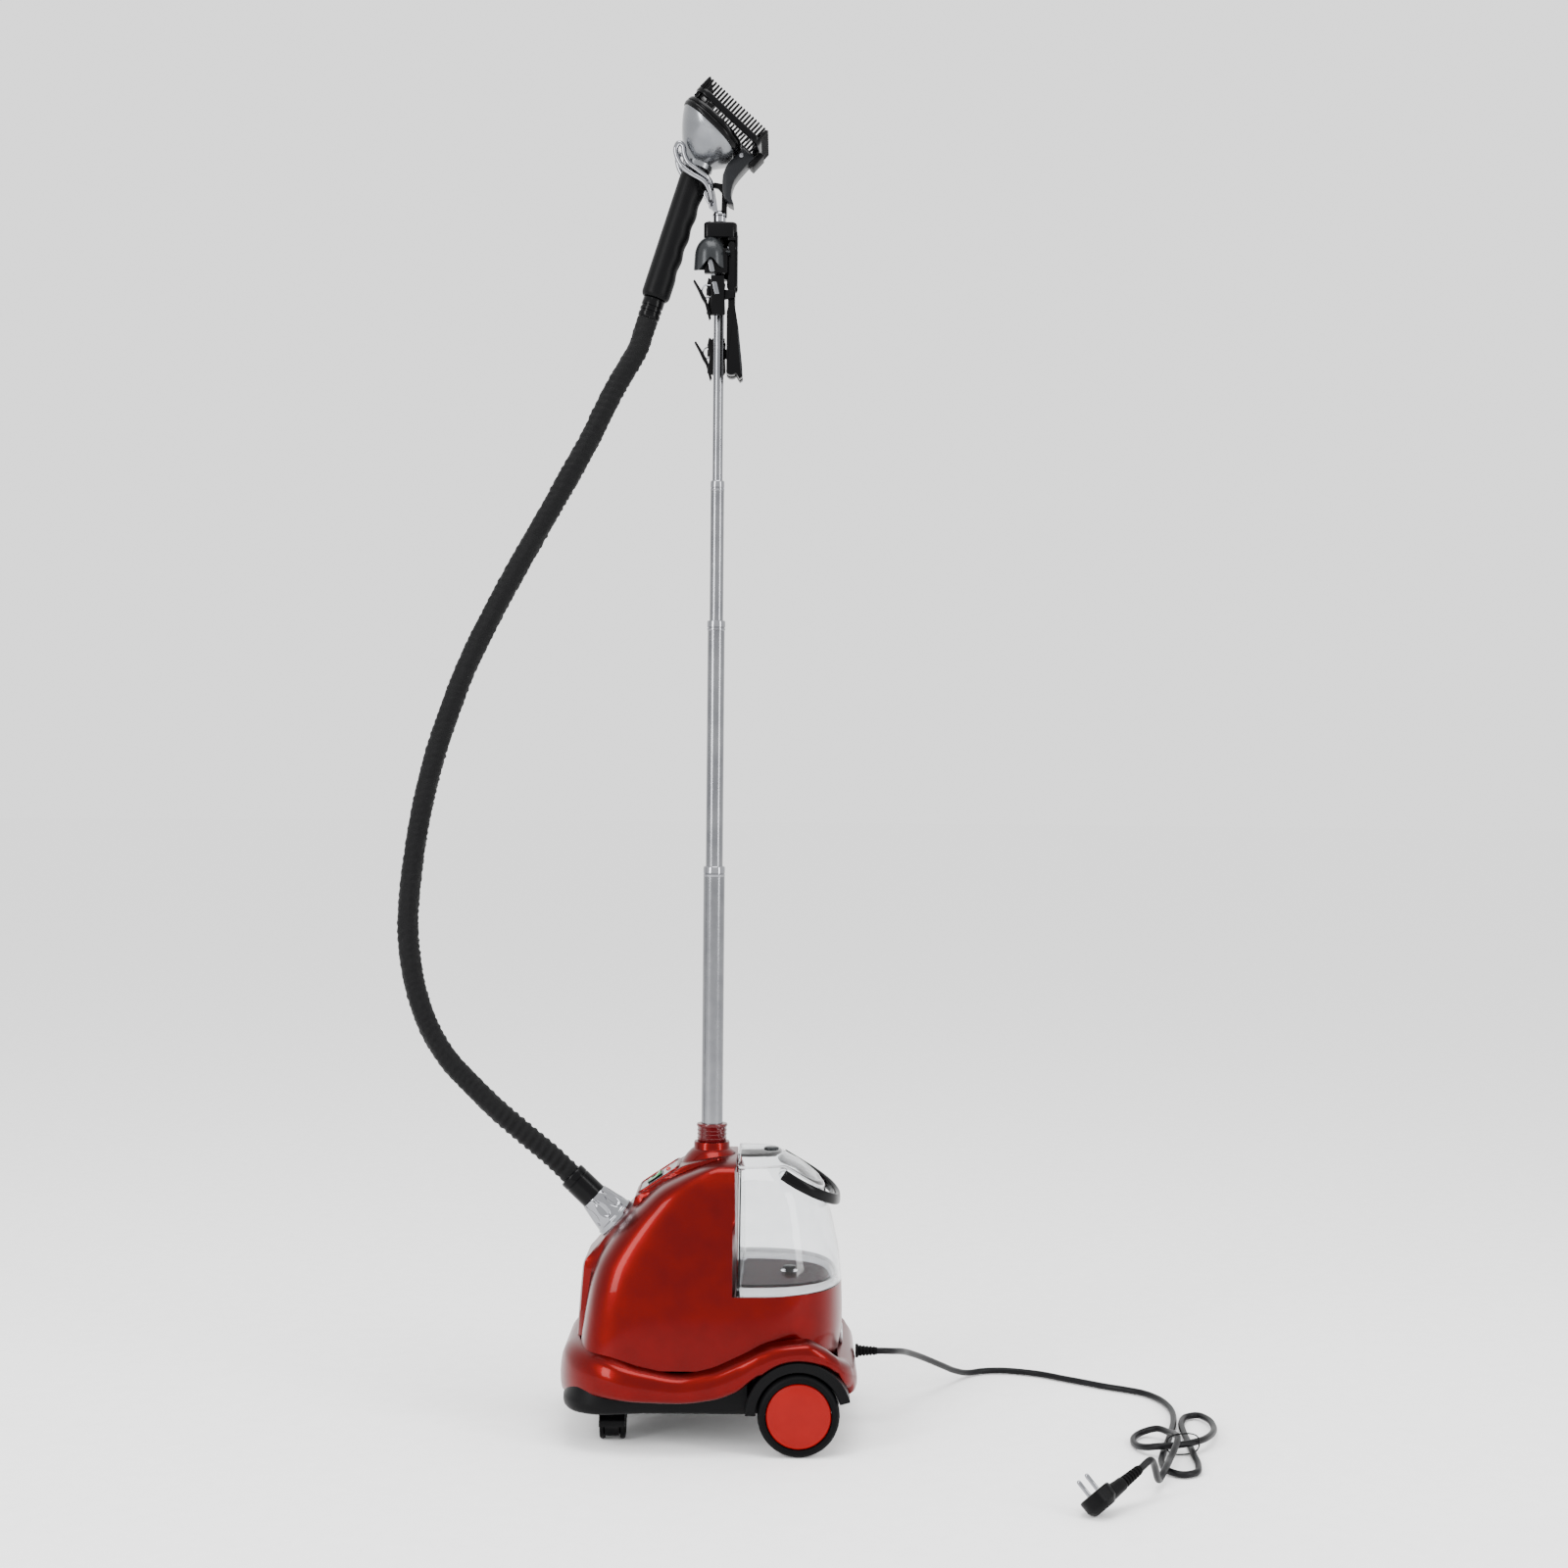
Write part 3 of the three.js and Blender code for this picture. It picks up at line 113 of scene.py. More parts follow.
@dataclass(frozen=True)
class Finish:
    """One real material and how its surface was made."""

    name: str
    slot: str
    colour: str
    shade: str  # the darker colour of its cloudy variation
    roughness: float
    metallic: float = 0.0
    ior: float = 1.5
    coat: float = 0.0
    coat_roughness: float = 0.03
    transmission: float = 0.0
    glow: float = 0.0
    sheen: float = 0.0
    specular: float = 0.5
    weave: Weave = Weave.PLAIN
    pitch: float = 1.0  # mm between grains, lines or threads
    relief: float = 0.05  # mm
    spread: float = 0.04  # how far the roughness wanders

    def material(self) -> bpy.types.Material:
        """Gives the finish's material, making it the first time."""
        return bpy.data.materials.get(self.name) or self.make()

    def make(self) -> bpy.types.Material:
        """Builds the node tree: constants on the shader, cloudy colour, uneven gloss and relief."""
        material = bpy.data.materials.new(self.name)
        material.use_nodes = True
        tree = material.node_tree
        tree.nodes.clear()
        place = add_node(tree, "ShaderNodeTexCoord")
        cloud = add_node(tree, "ShaderNodeTexNoise",
                         {"Vector": place.outputs["Object"], "Scale": 45.0, "Detail": 3.0})
        tint = add_node(tree, "ShaderNodeValToRGB", {"Fac": cloud.outputs["Fac"]})
        tint.color_ramp.elements[0].position, tint.color_ramp.elements[1].position = 0.3, 0.7
        tint.color_ramp.elements[0].color = linear(self.shade)
        tint.color_ramp.elements[1].color = linear(self.colour)
        gloss = add_node(tree, "ShaderNodeMapRange", {
            "Value": cloud.outputs["Fac"], "To Min": max(0.01, self.roughness - self.spread),
            "To Max": self.roughness + self.spread})
        shader = add_node(tree, "ShaderNodeBsdfPrincipled", {
            "Base Color": tint.outputs["Color"], "Roughness": gloss.outputs["Result"],
            "Metallic": self.metallic,
            "Coat Weight": self.coat, "Coat Roughness": self.coat_roughness,
            "Transmission Weight": self.transmission, "Sheen Weight": self.sheen,
            "Specular IOR Level": self.specular,
            "Normal": self.relief_of(tree, place)})
        if not self.metallic:
            shader.inputs["IOR"].default_value = self.ior
        if self.glow:
            shader.inputs["Emission Color"].default_value = linear(self.colour)
            shader.inputs["Emission Strength"].default_value = self.glow
        add_node(tree, "ShaderNodeOutputMaterial", {"Surface": shader.outputs["BSDF"]})
        return material

    def relief_of(self, tree: bpy.types.NodeTree, place: bpy.types.Node) -> bpy.types.NodeSocket:
        """Adds the height pattern of the finish's surface.

        Args:
            tree: The material's tree.
            place: Its texture coordinate node.

        Returns:
            The bumped normal.
        """
        waves = 1 / (self.pitch * MM)
        if self.weave is Weave.PLAIN:
            height = add_node(tree, "ShaderNodeTexNoise", {"Vector": place.outputs["Object"], "Scale": waves,
                                                           "Detail": 1.0}).outputs["Fac"]
        elif self.weave is Weave.GRAIN:
            height = add_node(tree, "ShaderNodeTexVoronoi",
                    {"Vector": place.outputs["Object"], "Scale": waves,
                                                             "Randomness": 1.0}).outputs["Distance"]
        elif self.weave is Weave.DRAWN:
            stretch = add_node(tree, "ShaderNodeMapping", {"Vector": place.outputs["Object"],
                                                           "Scale": (waves, waves, waves / 60)})
            height = add_node(tree, "ShaderNodeTexNoise", {"Vector": stretch.outputs["Vector"], "Scale": 1.0,
                                                           "Detail": 2.0}).outputs["Fac"]
        else:
            across = add_node(tree, "ShaderNodeTexWave",
                    {"Vector": place.outputs["UV"], "Scale": waves * MM * 160},
                              wave_type="BANDS", bands_direction="X")
            along = add_node(tree, "ShaderNodeTexWave",
                    {"Vector": place.outputs["UV"], "Scale": waves * MM * 160},
                             wave_type="BANDS", bands_direction="Y")
            height = add_node(tree, "ShaderNodeMath", {0: across.outputs["Fac"], 1: along.outputs["Fac"]},
                              operation="MULTIPLY").outputs["Value"]
        return add_node(tree, "ShaderNodeBump", {"Height": height, "Strength": 0.6,
                                                 "Distance": self.relief * MM}).outputs["Normal"]


# ABS sprayed with a metallic red and clear lacquer: deep colour, a soft wide glow and a thin gloss on top.
PEARL_RED = Finish("pearl_red_lacquered_abs", "red_gloss_plastic", "#5e0000", "#560000", 0.33, metallic=0.95,
                   coat=0.14, coat_roughness=0.05, pitch=60, relief=0.12)
# Solid red gloss ABS of the wheel caps, without the pearl.
PLAIN_RED = Finish("plain_red_abs", "red_gloss_plastic", "#7c0b09", "#750908", 0.35, ior=1.25, specular=0.35,
                   pitch=50)
# Tinted acrylic ring: darker, slightly see-through red.
MAROON = Finish("maroon_tinted_acrylic", "dark_red_plastic", "#4c0a0e", "#40080b", 0.2, ior=1.3, coat=0.2,
                pitch=40)
# Moulded seat under the tank: flat dark maroon without gloss.
MAROON_FLAT = Finish("flat_maroon_abs", "dark_red_plastic", "#2e0609", "#270508", 0.6, specular=0.0, pitch=30)
# Polished injection-moulded ABS: black with a clear edge gloss. The blacks and greys have a lower IOR and
# specular level than the real plastics, so that the white room doesn't veil them.
SMOOTH_BLACK = Finish("polished_black_abs", "black_plastic", "#050506", "#030304", 0.22, ior=1.28,
                      specular=0.25, pitch=40,
                      relief=0.06)
# Spark-textured polypropylene: dull black that spreads its highlights.
GRAINED_BLACK = Finish("grained_black_polypropylene", "black_plastic", "#060607", "#040405", 0.42, ior=1.25,
                       specular=0.25,
                       weave=Weave.GRAIN, pitch=0.9, relief=0.05)
# Moulded tyre rubber: nearly no gloss.
TYRE_RUBBER = Finish("moulded_tyre_rubber", "black_rubber", "#050506", "#030304", 0.5, ior=1.25, specular=0.2,
                     weave=Weave.GRAIN, pitch=0.8, relief=0.06)
# Extruded flexible PVC: dark grey skin with a broad sheen.
LEAD_PVC = Finish("extruded_grey_black_pvc", "black_rubber", "#0e0e10", "#0a0a0c", 0.38, ior=1.3,
                  specular=0.3, pitch=12,
                  relief=0.05)
# Plain-woven polyester sleeve, threads drawn at 1.2 mm so that they show.
SLEEVE = Finish("woven_polyester_sleeve", "hose_sheath", "#060607", "#030304", 0.55, ior=1.3, specular=0.25,
                sheen=0.01,
                weave=Weave.CLOTH, pitch=1.2, relief=0.12, spread=0.08)
# Injection-moulded polycarbonate: water-clear with bright edges. Its IOR is matched to the look, below 1.58.
CLEAR = Finish("clear_moulded_polycarbonate", "clear_plastic", "#fbfcfd", "#f4f6f8", 0.03, ior=1.3,
               transmission=1.0, pitch=90, relief=0.05, spread=0.01)
# The same plastic as a thin floor and small inner parts, with an IOR near 1 so that it hardly shows.
THIN_CLEAR = Finish("thin_clear_polycarbonate", "clear_plastic", "#f6f6f8", "#eeeef1", 0.03, ior=1.03,
                    transmission=1.0, pitch=90, relief=0.02, spread=0.01)
# The tank's thick foot, where the clear plastic looks milky.
MILKY_CLEAR = Finish("milky_foot_polycarbonate", "clear_plastic", "#e9e9ec", "#dededf", 0.12, ior=1.4,
                     transmission=0.25, coat=0.4, pitch=40)
# Bright decorative chrome on ABS, its colour darker than real chrome's because the room is all white.
CHROME = Finish("bright_chrome_plate", "chrome", "#8b8c90", "#7d7e82", 0.06, metallic=1.0, pitch=50,
                relief=0.03, spread=0.02)
# Vacuum-metallised and lacquered ABS.
SILVER = Finish("silver_lacquered_abs", "silver_plastic", "#77797c", "#6a6c70", 0.24, metallic=0.9, coat=0.2,
                pitch=40, relief=0.05)
# Drawn, anodised tube: fine lines along its length, and a darker colour for the same reason.
ALUMINIUM = Finish("drawn_anodised_aluminium", "aluminium", "#7a7b7e", "#6c6d71", 0.2, metallic=1.0,
                   weave=Weave.DRAWN, pitch=0.7, relief=0.02)
# Satin-lacquered grey ABS.
SATIN_GREY = Finish("satin_grey_abs", "grey_plastic", "#26282a", "#1e2022", 0.28, metallic=0.4, ior=1.4,
                    specular=0.3, pitch=30)
# Dark grey glass-filled nylon of the clamp.
DARK_GREY = Finish("dark_grey_nylon", "grey_plastic", "#16171a", "#111214", 0.34, ior=1.35, specular=0.3,
                   pitch=30)
# Lit translucent rocker.
GREEN_LENS = Finish("lit_green_polycarbonate", "green_lens", "#07803a", "#056b30", 0.2, glow=0.3, pitch=20)
# Small tinted lens.
RED_LENS = Finish("red_tinted_lens", "red_lens", "#b01c14", "#951410", 0.15, glow=0.05, pitch=20)
# Printed rating plate, left blank.
PLATE_PAINT = Finish("blank_pale_foil", "silver_plastic", "#b4b4b6", "#a9a9ac", 0.3, metallic=0.5, pitch=30)
# Matt pale paint of the studio floor.
FLOOR_PAINT = Finish("matt_white_floor_paint", "clear_plastic", "#ffffff", "#fbfbfb", 0.9, specular=0.0,
                     pitch=200)


# ---- mesh building -----------------------------------------------------------------------------------
def at_point(x: float, y: float, z: float) -> Matrix:
    """A shift to a point in millimetres."""
    return Matrix.Translation((x, y, z))


def turned_by(angle: float, axis: str) -> Matrix:
    """A turn in radians about X, Y or Z."""
    return Matrix.Rotation(angle, 4, axis)


def smooth_table(table: Sequence[Pair]) -> Callable[[float], float]:
    """Makes a curve through a list of pairs that doesn't overshoot between them.

    Args:
        table: Key and value pairs in rising order of key.

    Returns:
        A function of the key, constant past both ends.
    """
    keys = [k for k, _ in table]
    values = [v for _, v in table]
    rise = [(values[i + 1] - values[i]) / (keys[i + 1] - keys[i]) for i in range(len(table) - 1)]
    slopes = [rise[0]]
    for before, after in zip(rise, rise[1:]):
        slopes.append(0.0 if before * after <= 0 else 2 * before * after / (before + after))
    slopes.append(rise[-1])

    def read(key: float) -> float:
        """Reads the curve at one key."""
        if key <= keys[0] or key >= keys[-1]:
            return values[0] if key <= keys[0] else values[-1]
        i = max(j for j in range(len(keys) - 1) if keys[j] <= key)
        span = keys[i + 1] - keys[i]
        t = (key - keys[i]) / span
        return (values[i] * (1 + 2 * t) * (1 - t) ** 2 + slopes[i] * span * t * (1 - t) ** 2
                + values[i + 1] * t * t * (3 - 2 * t) + slopes[i + 1] * span * t * t * (t - 1))

    return read


@dataclass
class Shape:
    """A mesh being put together, in millimetres."""

    points: list[Vector] = field(default_factory=list)
    faces: list[tuple[int, ...]] = field(default_factory=list)

    def __add__(self, other: "Shape") -> "Shape":
        """Puts two shapes in one mesh."""
        shift = len(self.points)
        return Shape(self.points + other.points,
                     self.faces + [tuple(i + shift for i in f) for f in other.faces])

    def at(self, matrix: Matrix) -> "Shape":
        """Moves the shape by a matrix."""
        return Shape([matrix @ p for p in self.points], list(self.faces))

    def object(self, name: str, finish: Finish, body: str, *nodes: str, bevel: float = 0.0,
               sharp: float = 38.0) -> bpy.types.Object:
        """Makes the finished piece.

        Args:
            name: The piece's name.
            finish: Its material.
            body: The body that it rides on.
            *nodes: The CAD nodes that it stands for.
            bevel: Width of the rounding on sharp edges, in mm.
            sharp: The angle in degrees from which an edge shades as an edge.

        Returns:
            The piece, riding on its body.
        """
        made = bmesh.new()
        corners = [made.verts.new(p * MM) for p in self.points]
        for face in self.faces:
            if len(set(face)) > 2 and not made.faces.get([corners[i] for i in face]):
                made.faces.new([corners[i] for i in face])
        bmesh.ops.remove_doubles(made, verts=made.verts, dist=1e-6)
        bmesh.ops.dissolve_degenerate(made, edges=made.edges, dist=1e-7)
        bmesh.ops.recalc_face_normals(made, faces=made.faces)
        mesh = bpy.data.meshes.new(name)
        made.to_mesh(mesh)
        made.free()
        return dress(name, mesh, finish, body, *nodes, bevel=bevel, sharp=sharp)


def dress(name: str, mesh: bpy.types.Mesh, finish: Finish, body: str, *nodes: str, bevel: float = 0.0,
          sharp: float = 38.0) -> bpy.types.Object:
    """Turns a mesh into a finished piece that rides on its body.

    Args:
        name: The piece's name.
        mesh: Its mesh, in metres and in place.
        finish: Its material.
        body: The body that it rides on.
        *nodes: The CAD nodes that it stands for.
        bevel: Width of the rounding on sharp edges, in mm.
        sharp: The angle in degrees from which an edge shades as an edge.

    Returns:
        The piece.
    """
    piece = bpy.data.objects.new(name, mesh)
    bpy.context.scene.collection.objects.link(piece)
    mesh.materials.clear()
    mesh.materials.append(finish.material())
    if bevel:
        rounding = piece.modifiers.new("rounding", "BEVEL")
        rounding.width, rounding.segments, rounding.limit_method = bevel * MM, 2, "ANGLE"
        rounding.angle_limit = math.radians(30)
        rounding.harden_normals = False
        plain = bpy.data.meshes.new_from_object(piece.evaluated_get(bpy.context.evaluated_depsgraph_get()))
        piece.modifiers.clear()
        piece.data = plain
    piece.data.shade_smooth()
    piece.data.set_sharp_from_angle(angle=math.radians(sharp))
    if nodes:
        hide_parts(*nodes)
    if body:
        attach(piece, body)
    log.info("%s: %d faces on %s", name, len(piece.data.polygons), body or "a blend")
    return piece


def loft(rings: Sequence[Ring], caps: bool = True, closed: bool = False) -> Shape:
    """Skins rings of equal count.

    Args:
        rings: The rings in order.
        caps: Whether the first and last ring are closed off.
        closed: Whether the last ring joins the first.

    Returns:
        The skin.
    """
    count = len(rings[0])
    faces = []
    for level in range(len(rings) - (0 if closed else 1)):
        low, high = level * count, ((level + 1) % len(rings)) * count
        faces += [(low + i, low + (i + 1) % count, high + (i + 1) % count, high + i) for i in range(count)]
    if caps and not closed:
        faces += [tuple(reversed(range(count))), tuple(range((len(rings) - 1) * count, len(rings) * count))]
    return Shape([Vector(p) for ring in rings for p in ring], faces)


def circle(radius: float, z: float, sides: int = 48) -> Ring:
    """A round ring about Z."""
    return [Vector((radius * math.cos(math.tau * i / sides), radius * math.sin(math.tau * i / sides), z))
            for i in range(sides)]


def turned(profile: Sequence[Pair], sides: int = 48, closed: bool = False) -> Shape:
    """Turns a profile about Z.

    Args:
        profile: Radius and height pairs.
        sides: Facets round the axis.
        closed: Whether the profile's end joins its start, as on a ring.

    Returns:
        The turned shape.
    """
    return loft([circle(max(r, 0.01), z, sides) for r, z in profile], closed=closed)


def turned_at(matrix: Matrix, profile: Sequence[Pair], sides: int = 48, closed: bool = False) -> Shape:
    """A turned shape moved by a matrix."""
    return turned(profile, sides, closed).at(matrix)


def slab(outline: Sequence[Pair], low: float, high: float, side_view: bool = True) -> Shape:
    """Gives an outline a thickness.

    Args:
        outline: Points in X and Z, or in X and Y for a plan.
        low: Lower station along Y, or along Z for a plan.
        high: Upper station.
        side_view: Whether the outline is in X and Z.

    Returns:
        The slab.
    """
    place = (lambda a, b, c: Vector((a, c, b))) if side_view else (lambda a, b, c: Vector((a, b, c)))
    return loft([[place(a, b, station) for a, b in outline] for station in (low, high)])


def box(low: Sequence[float], high: Sequence[float]) -> Shape:
    """A block between two corners."""
    return slab([(low[0], low[2]), (high[0], low[2]), (high[0], high[2]), (low[0], high[2])], low[1], high[1])


def curve_through(points: Sequence[Sequence[float]], step: float) -> Ring:
    """Draws a smooth curve through given points.

    Args:
        points: The points that it passes.
        step: Distance between the points of the result.

    Returns:
        Evenly spaced points along a centripetal Catmull-Rom curve.
    """
    knots = [Vector(p) for p in points]
    knots = [2 * knots[0] - knots[1], *knots, 2 * knots[-1] - knots[-2]]
    fine: Ring = []
    for a, b, c, d in zip(knots, knots[1:], knots[2:], knots[3:]):
        t1 = (b - a).length ** 0.5
        t2 = t1 + (c - b).length ** 0.5
        t3 = t2 + (d - c).length ** 0.5
        for i in range(24):
            t = t1 + (t2 - t1) * i / 24
            ab, bc, cd = a.lerp(b, t / t1), b.lerp(c, (t - t1) / (t2 - t1)), c.lerp(d, (t - t2) / (t3 - t2))
            fine.append(ab.lerp(bc, t / t2).lerp(bc.lerp(cd, (t - t1) / (t3 - t1)), (t - t1) / (t2 - t1)))
    fine.append(knots[-2])
    lengths = [0.0]
    for p, q in zip(fine, fine[1:]):
        lengths.append(lengths[-1] + (q - p).length)
    count = max(2, round(lengths[-1] / step))
    even, j = [], 0
    for i in range(count + 1):
        reach = lengths[-1] * i / count
        while j < len(fine) - 2 and lengths[j + 1] < reach:
            j += 1
        even.append(fine[j].lerp(fine[j + 1], (reach - lengths[j]) / max(lengths[j + 1] - lengths[j], 1e-9)))
    return even


def length_of(path: Ring) -> float:
    """The length of a line in metres."""
    return sum((b - a).length for a, b in zip(path, path[1:])) * MM


def tube(path: Ring, radius: Callable[[float, float], float], sides: int = 16,
         first_normal: Vector | None = None,
         caps: bool = True) -> Shape:
    """A tube along a line, without twist.

    Args:
        path: Its centreline.
        radius: Radius as a function of the distance along it and the turn about it.
        sides: Points round it.
        first_normal: Where the turn starts at the first ring.
        caps: Whether the ends are closed.

    Returns:
        The tube.
    """
    rings, along, normal = [], 0.0, first_normal or Vector((0, 1, 0))
    for i, point in enumerate(path):
        ahead = (path[min(i + 1, len(path) - 1)] - path[max(i - 1, 0)]).normalized()
        normal = (normal - ahead * normal.dot(ahead)).normalized()
        binormal = ahead.cross(normal)
        if i:
            along += (point - path[i - 1]).length
        turns = [math.tau * k / sides for k in range(sides)]
        rings.append([point + (normal * math.cos(t) + binormal * math.sin(t)) * radius(along,
                t) for t in turns])
    return loft(rings, caps)


def strip_uv(mesh: bpy.types.Mesh, sides: int, rings: int, round_mm: float, long_mm: float) -> None:
    """Lays a UV map along a tube, in units of 160 mm both ways.

    Args:
        mesh: The tube's mesh, with its faces in ring order.
        sides: Points round it.
        rings: Rings along it.
        round_mm: Its girth.
        long_mm: Its length.
    """
    layer = mesh.uv_layers.new(name="along")
    unit = 160.0
    for index in range(min(len(mesh.polygons), sides * (rings - 1))):
        side = index % sides
        corners = mesh.polygons[index].loop_indices
        for loop in corners:
            vertex = mesh.loops[loop].vertex_index
            ring, turn = divmod(vertex, sides)
            turn = turn if turn >= side else turn + sides
            layer.data[loop].uv = (turn / sides * round_mm / unit, ring / (rings - 1) * long_mm / unit)


# ---- geometry node recipes ---------------------------------------------------------------------------
Layout = Callable[[bpy.types.NodeTree, bpy.types.Node], bpy.types.NodeSocket]


def grown(name: str, sizes: dict[str, float], layout: Layout, finish: Finish) -> bpy.types.Mesh:
    """Runs a geometry node tree and gives its result as a plain mesh.

    Args:
        name: The tree's name.
        sizes: Its named inputs, in metres, or whole numbers for counts.
        layout: Adds the tree's own nodes, given the tree and its input node, and returns the last socket.
        finish: The material that the tree sets.

    Returns:
        The realised mesh.
    """
    tree = bpy.data.node_groups.new(name, "GeometryNodeTree")
    for label, value in sizes.items():
        kind = "NodeSocketInt" if isinstance(value, int) else "NodeSocketFloat"
        tree.interface.new_socket(label, in_out="INPUT", socket_type=kind)
    tree.interface.new_socket("Geometry", in_out="OUTPUT", socket_type="NodeSocketGeometry")
    made = layout(tree, add_node(tree, "NodeGroupInput"))
    real = add_node(tree, "GeometryNodeRealizeInstances", {"Geometry": made})
    coat = add_node(tree, "GeometryNodeSetMaterial",
                    {"Geometry": real.outputs[0], "Material": finish.material()})
    add_node(tree, "NodeGroupOutput", {"Geometry": coat.outputs[0]})
    host = bpy.data.objects.new(name, bpy.data.meshes.new(name))
    bpy.context.scene.collection.objects.link(host)
    modifier = host.modifiers.new(name, "NODES")
    modifier.node_group = tree
    for item in tree.interface.items_tree:
        if item.in_out == "INPUT":
            modifier[item.identifier] = sizes[item.name]
    host.update_tag()
    mesh = bpy.data.meshes.new_from_object(host.evaluated_get(bpy.context.evaluated_depsgraph_get()))
    bpy.data.objects.remove(host)
    return mesh


def rows_of_teeth(tree: bpy.types.NodeTree, entry: bpy.types.Node) -> bpy.types.NodeSocket:
    """Tapered teeth on a grid, standing along Z.

    Args:
        tree: The tree to build in.
        entry: Its input node.

    Returns:
        The geometry socket.
    """
    size = entry.outputs
    grid = add_node(tree, "GeometryNodeMeshGrid", {"Size X": size["Length"], "Size Y": size["Width"],
                                                   "Vertices X": size["Along"], "Vertices Y": size["Across"]})
    tooth = add_node(tree, "GeometryNodeMeshCone", {"Vertices": 6, "Radius Top": size["Tip"],
                                                    "Radius Bottom": size["Root"], "Depth": size["Height"]})
    stand = add_node(tree, "GeometryNodeInstanceOnPoints", {"Points": grid.outputs["Mesh"],
                                                            "Instance": tooth.outputs["Mesh"]})
    return stand.outputs["Instances"]


def row_of_rings(tree: bpy.types.NodeTree, entry: bpy.types.Node) -> bpy.types.NodeSocket:
    """Rounded ribs along Z, each a circle swept round a circle.

    Args:
        tree: The tree to build in.
        entry: Its input node.

    Returns:
        The geometry socket.
    """
    size = entry.outputs
    end = add_node(tree, "ShaderNodeCombineXYZ", {"Z": size["Length"]})
    line = add_node(tree, "GeometryNodeMeshLine", {"Count": size["Count"], "Offset": end.outputs[0]},
                    mode="END_POINTS")
    hoop = add_node(tree, "GeometryNodeCurvePrimitiveCircle", {"Resolution": 32, "Radius": size["Radius"]})
    bead = add_node(tree, "GeometryNodeCurvePrimitiveCircle", {"Resolution": 8, "Radius": size["Bead"]})
    ring = add_node(tree, "GeometryNodeCurveToMesh", {"Curve": hoop.outputs["Curve"],
                                                      "Profile Curve": bead.outputs["Curve"]})
    stand = add_node(tree, "GeometryNodeInstanceOnPoints", {"Points": line.outputs["Mesh"],
                                                            "Instance": ring.outputs["Mesh"]})
    return stand.outputs["Instances"]


def swept_tube(tree: bpy.types.NodeTree, entry: bpy.types.Node) -> bpy.types.NodeSocket:
    """A straight drawn tube: its round section swept along a line.

    Args:
        tree: The tree to build in.
        entry: Its input node.

    Returns:
        The geometry socket.
    """
    size = entry.outputs
    low = add_node(tree, "ShaderNodeCombineXYZ", {"Z": size["Low"]})
    high = add_node(tree, "ShaderNodeCombineXYZ", {"Z": size["High"]})
    line = add_node(tree, "GeometryNodeCurvePrimitiveLine", {"Start": low.outputs[0], "End": high.outputs[0]})
    section = add_node(tree, "GeometryNodeCurvePrimitiveCircle", {"Resolution": 64, "Radius": size["Radius"]})
    swept = add_node(tree, "GeometryNodeCurveToMesh", {"Curve": line.outputs["Curve"],
                                                       "Profile Curve": section.outputs["Curve"],
                                                       "Fill Caps": True})
    return swept.outputs["Mesh"]


def moved(mesh: bpy.types.Mesh, matrix: Matrix) -> bpy.types.Mesh:
    """Places a mesh whose matrix is in millimetres."""
    place = matrix.copy()
    place.translation = place.translation * MM
    mesh.transform(place)
    return mesh


# ---- studio ------------------------------------------------------------------------------------------
@dataclass
class Studio:
    """The camera, the floor and the lights."""

    eye: Point = (0.081, -2.555, 0.748)
    roll: float = -0.48  # degrees
    lens: float = 50.0
    floor_radius: float = 40.0
    daylight: float = 1.7  # strength of the white room

    def camera(self) -> None:
        """Adds the camera at chest height, looking level along +Y."""
        data = bpy.data.cameras.new("camera")
        data.lens, data.sensor_width = self.lens, 36.0
        holder = bpy.data.objects.new("camera", data)
        holder.location = self.eye
        holder.rotation_euler = (math.radians(90), math.radians(self.roll), 0)
        bpy.context.scene.collection.objects.link(holder)
        bpy.context.scene.camera = holder

    def panel(self, name: str, place: Point, aim: Point, width: float, height: float, power: float) -> None:
        """Adds a soft box.

        Args:
            name: The light's name.
            place: Where it hangs.
            aim: What it points at.
            width: Width in metres.
            height: Height in metres.
            power: Power in watts.
        """
        data = bpy.data.lights.new(name, "AREA")
        data.shape, data.size, data.size_y, data.energy = "RECTANGLE", width, height, power
        lamp = bpy.data.objects.new(name, data)
        lamp.location = place
        lamp.rotation_euler = (Vector(aim) - Vector(place)).to_track_quat("-Z", "Y").to_euler()
        bpy.context.scene.collection.objects.link(lamp)

    def build(self) -> None:
        """Builds the whole studio."""
        self.camera()
        ring = [Vector((self.floor_radius * math.cos(t), self.floor_radius * math.sin(t), -0.0005))
                for t in (math.tau * i / 64 for i in range(64))]
        mesh = bpy.data.meshes.new("floor")
        mesh.from_pydata([tuple(p) for p in ring], [], [tuple(range(64))])
        mesh.materials.append(FLOOR_PAINT.material())
        floor = bpy.data.objects.new("floor", mesh)
        bpy.context.scene.collection.objects.link(floor)
        world = bpy.data.worlds.new("white_room")
        world.use_nodes = True
        world.node_tree.nodes["Background"].inputs["Color"].default_value = (1, 1, 1, 1)
        world.node_tree.nodes["Background"].inputs["Strength"].default_value = self.daylight
        bpy.context.scene.world = world
        self.panel("left_box", (-2.1, -2.2, 1.7), (0, 0, 0.5), 0.8, 2.4, 95)
        self.panel("right_box", (2.4, -1.6, 1.5), (0, 0, 0.6), 0.6, 2.2, 55)
        self.panel("top_box", (0.2, -0.6, 3.0), (0, 0, 0.2), 1.6, 1.2, 60)


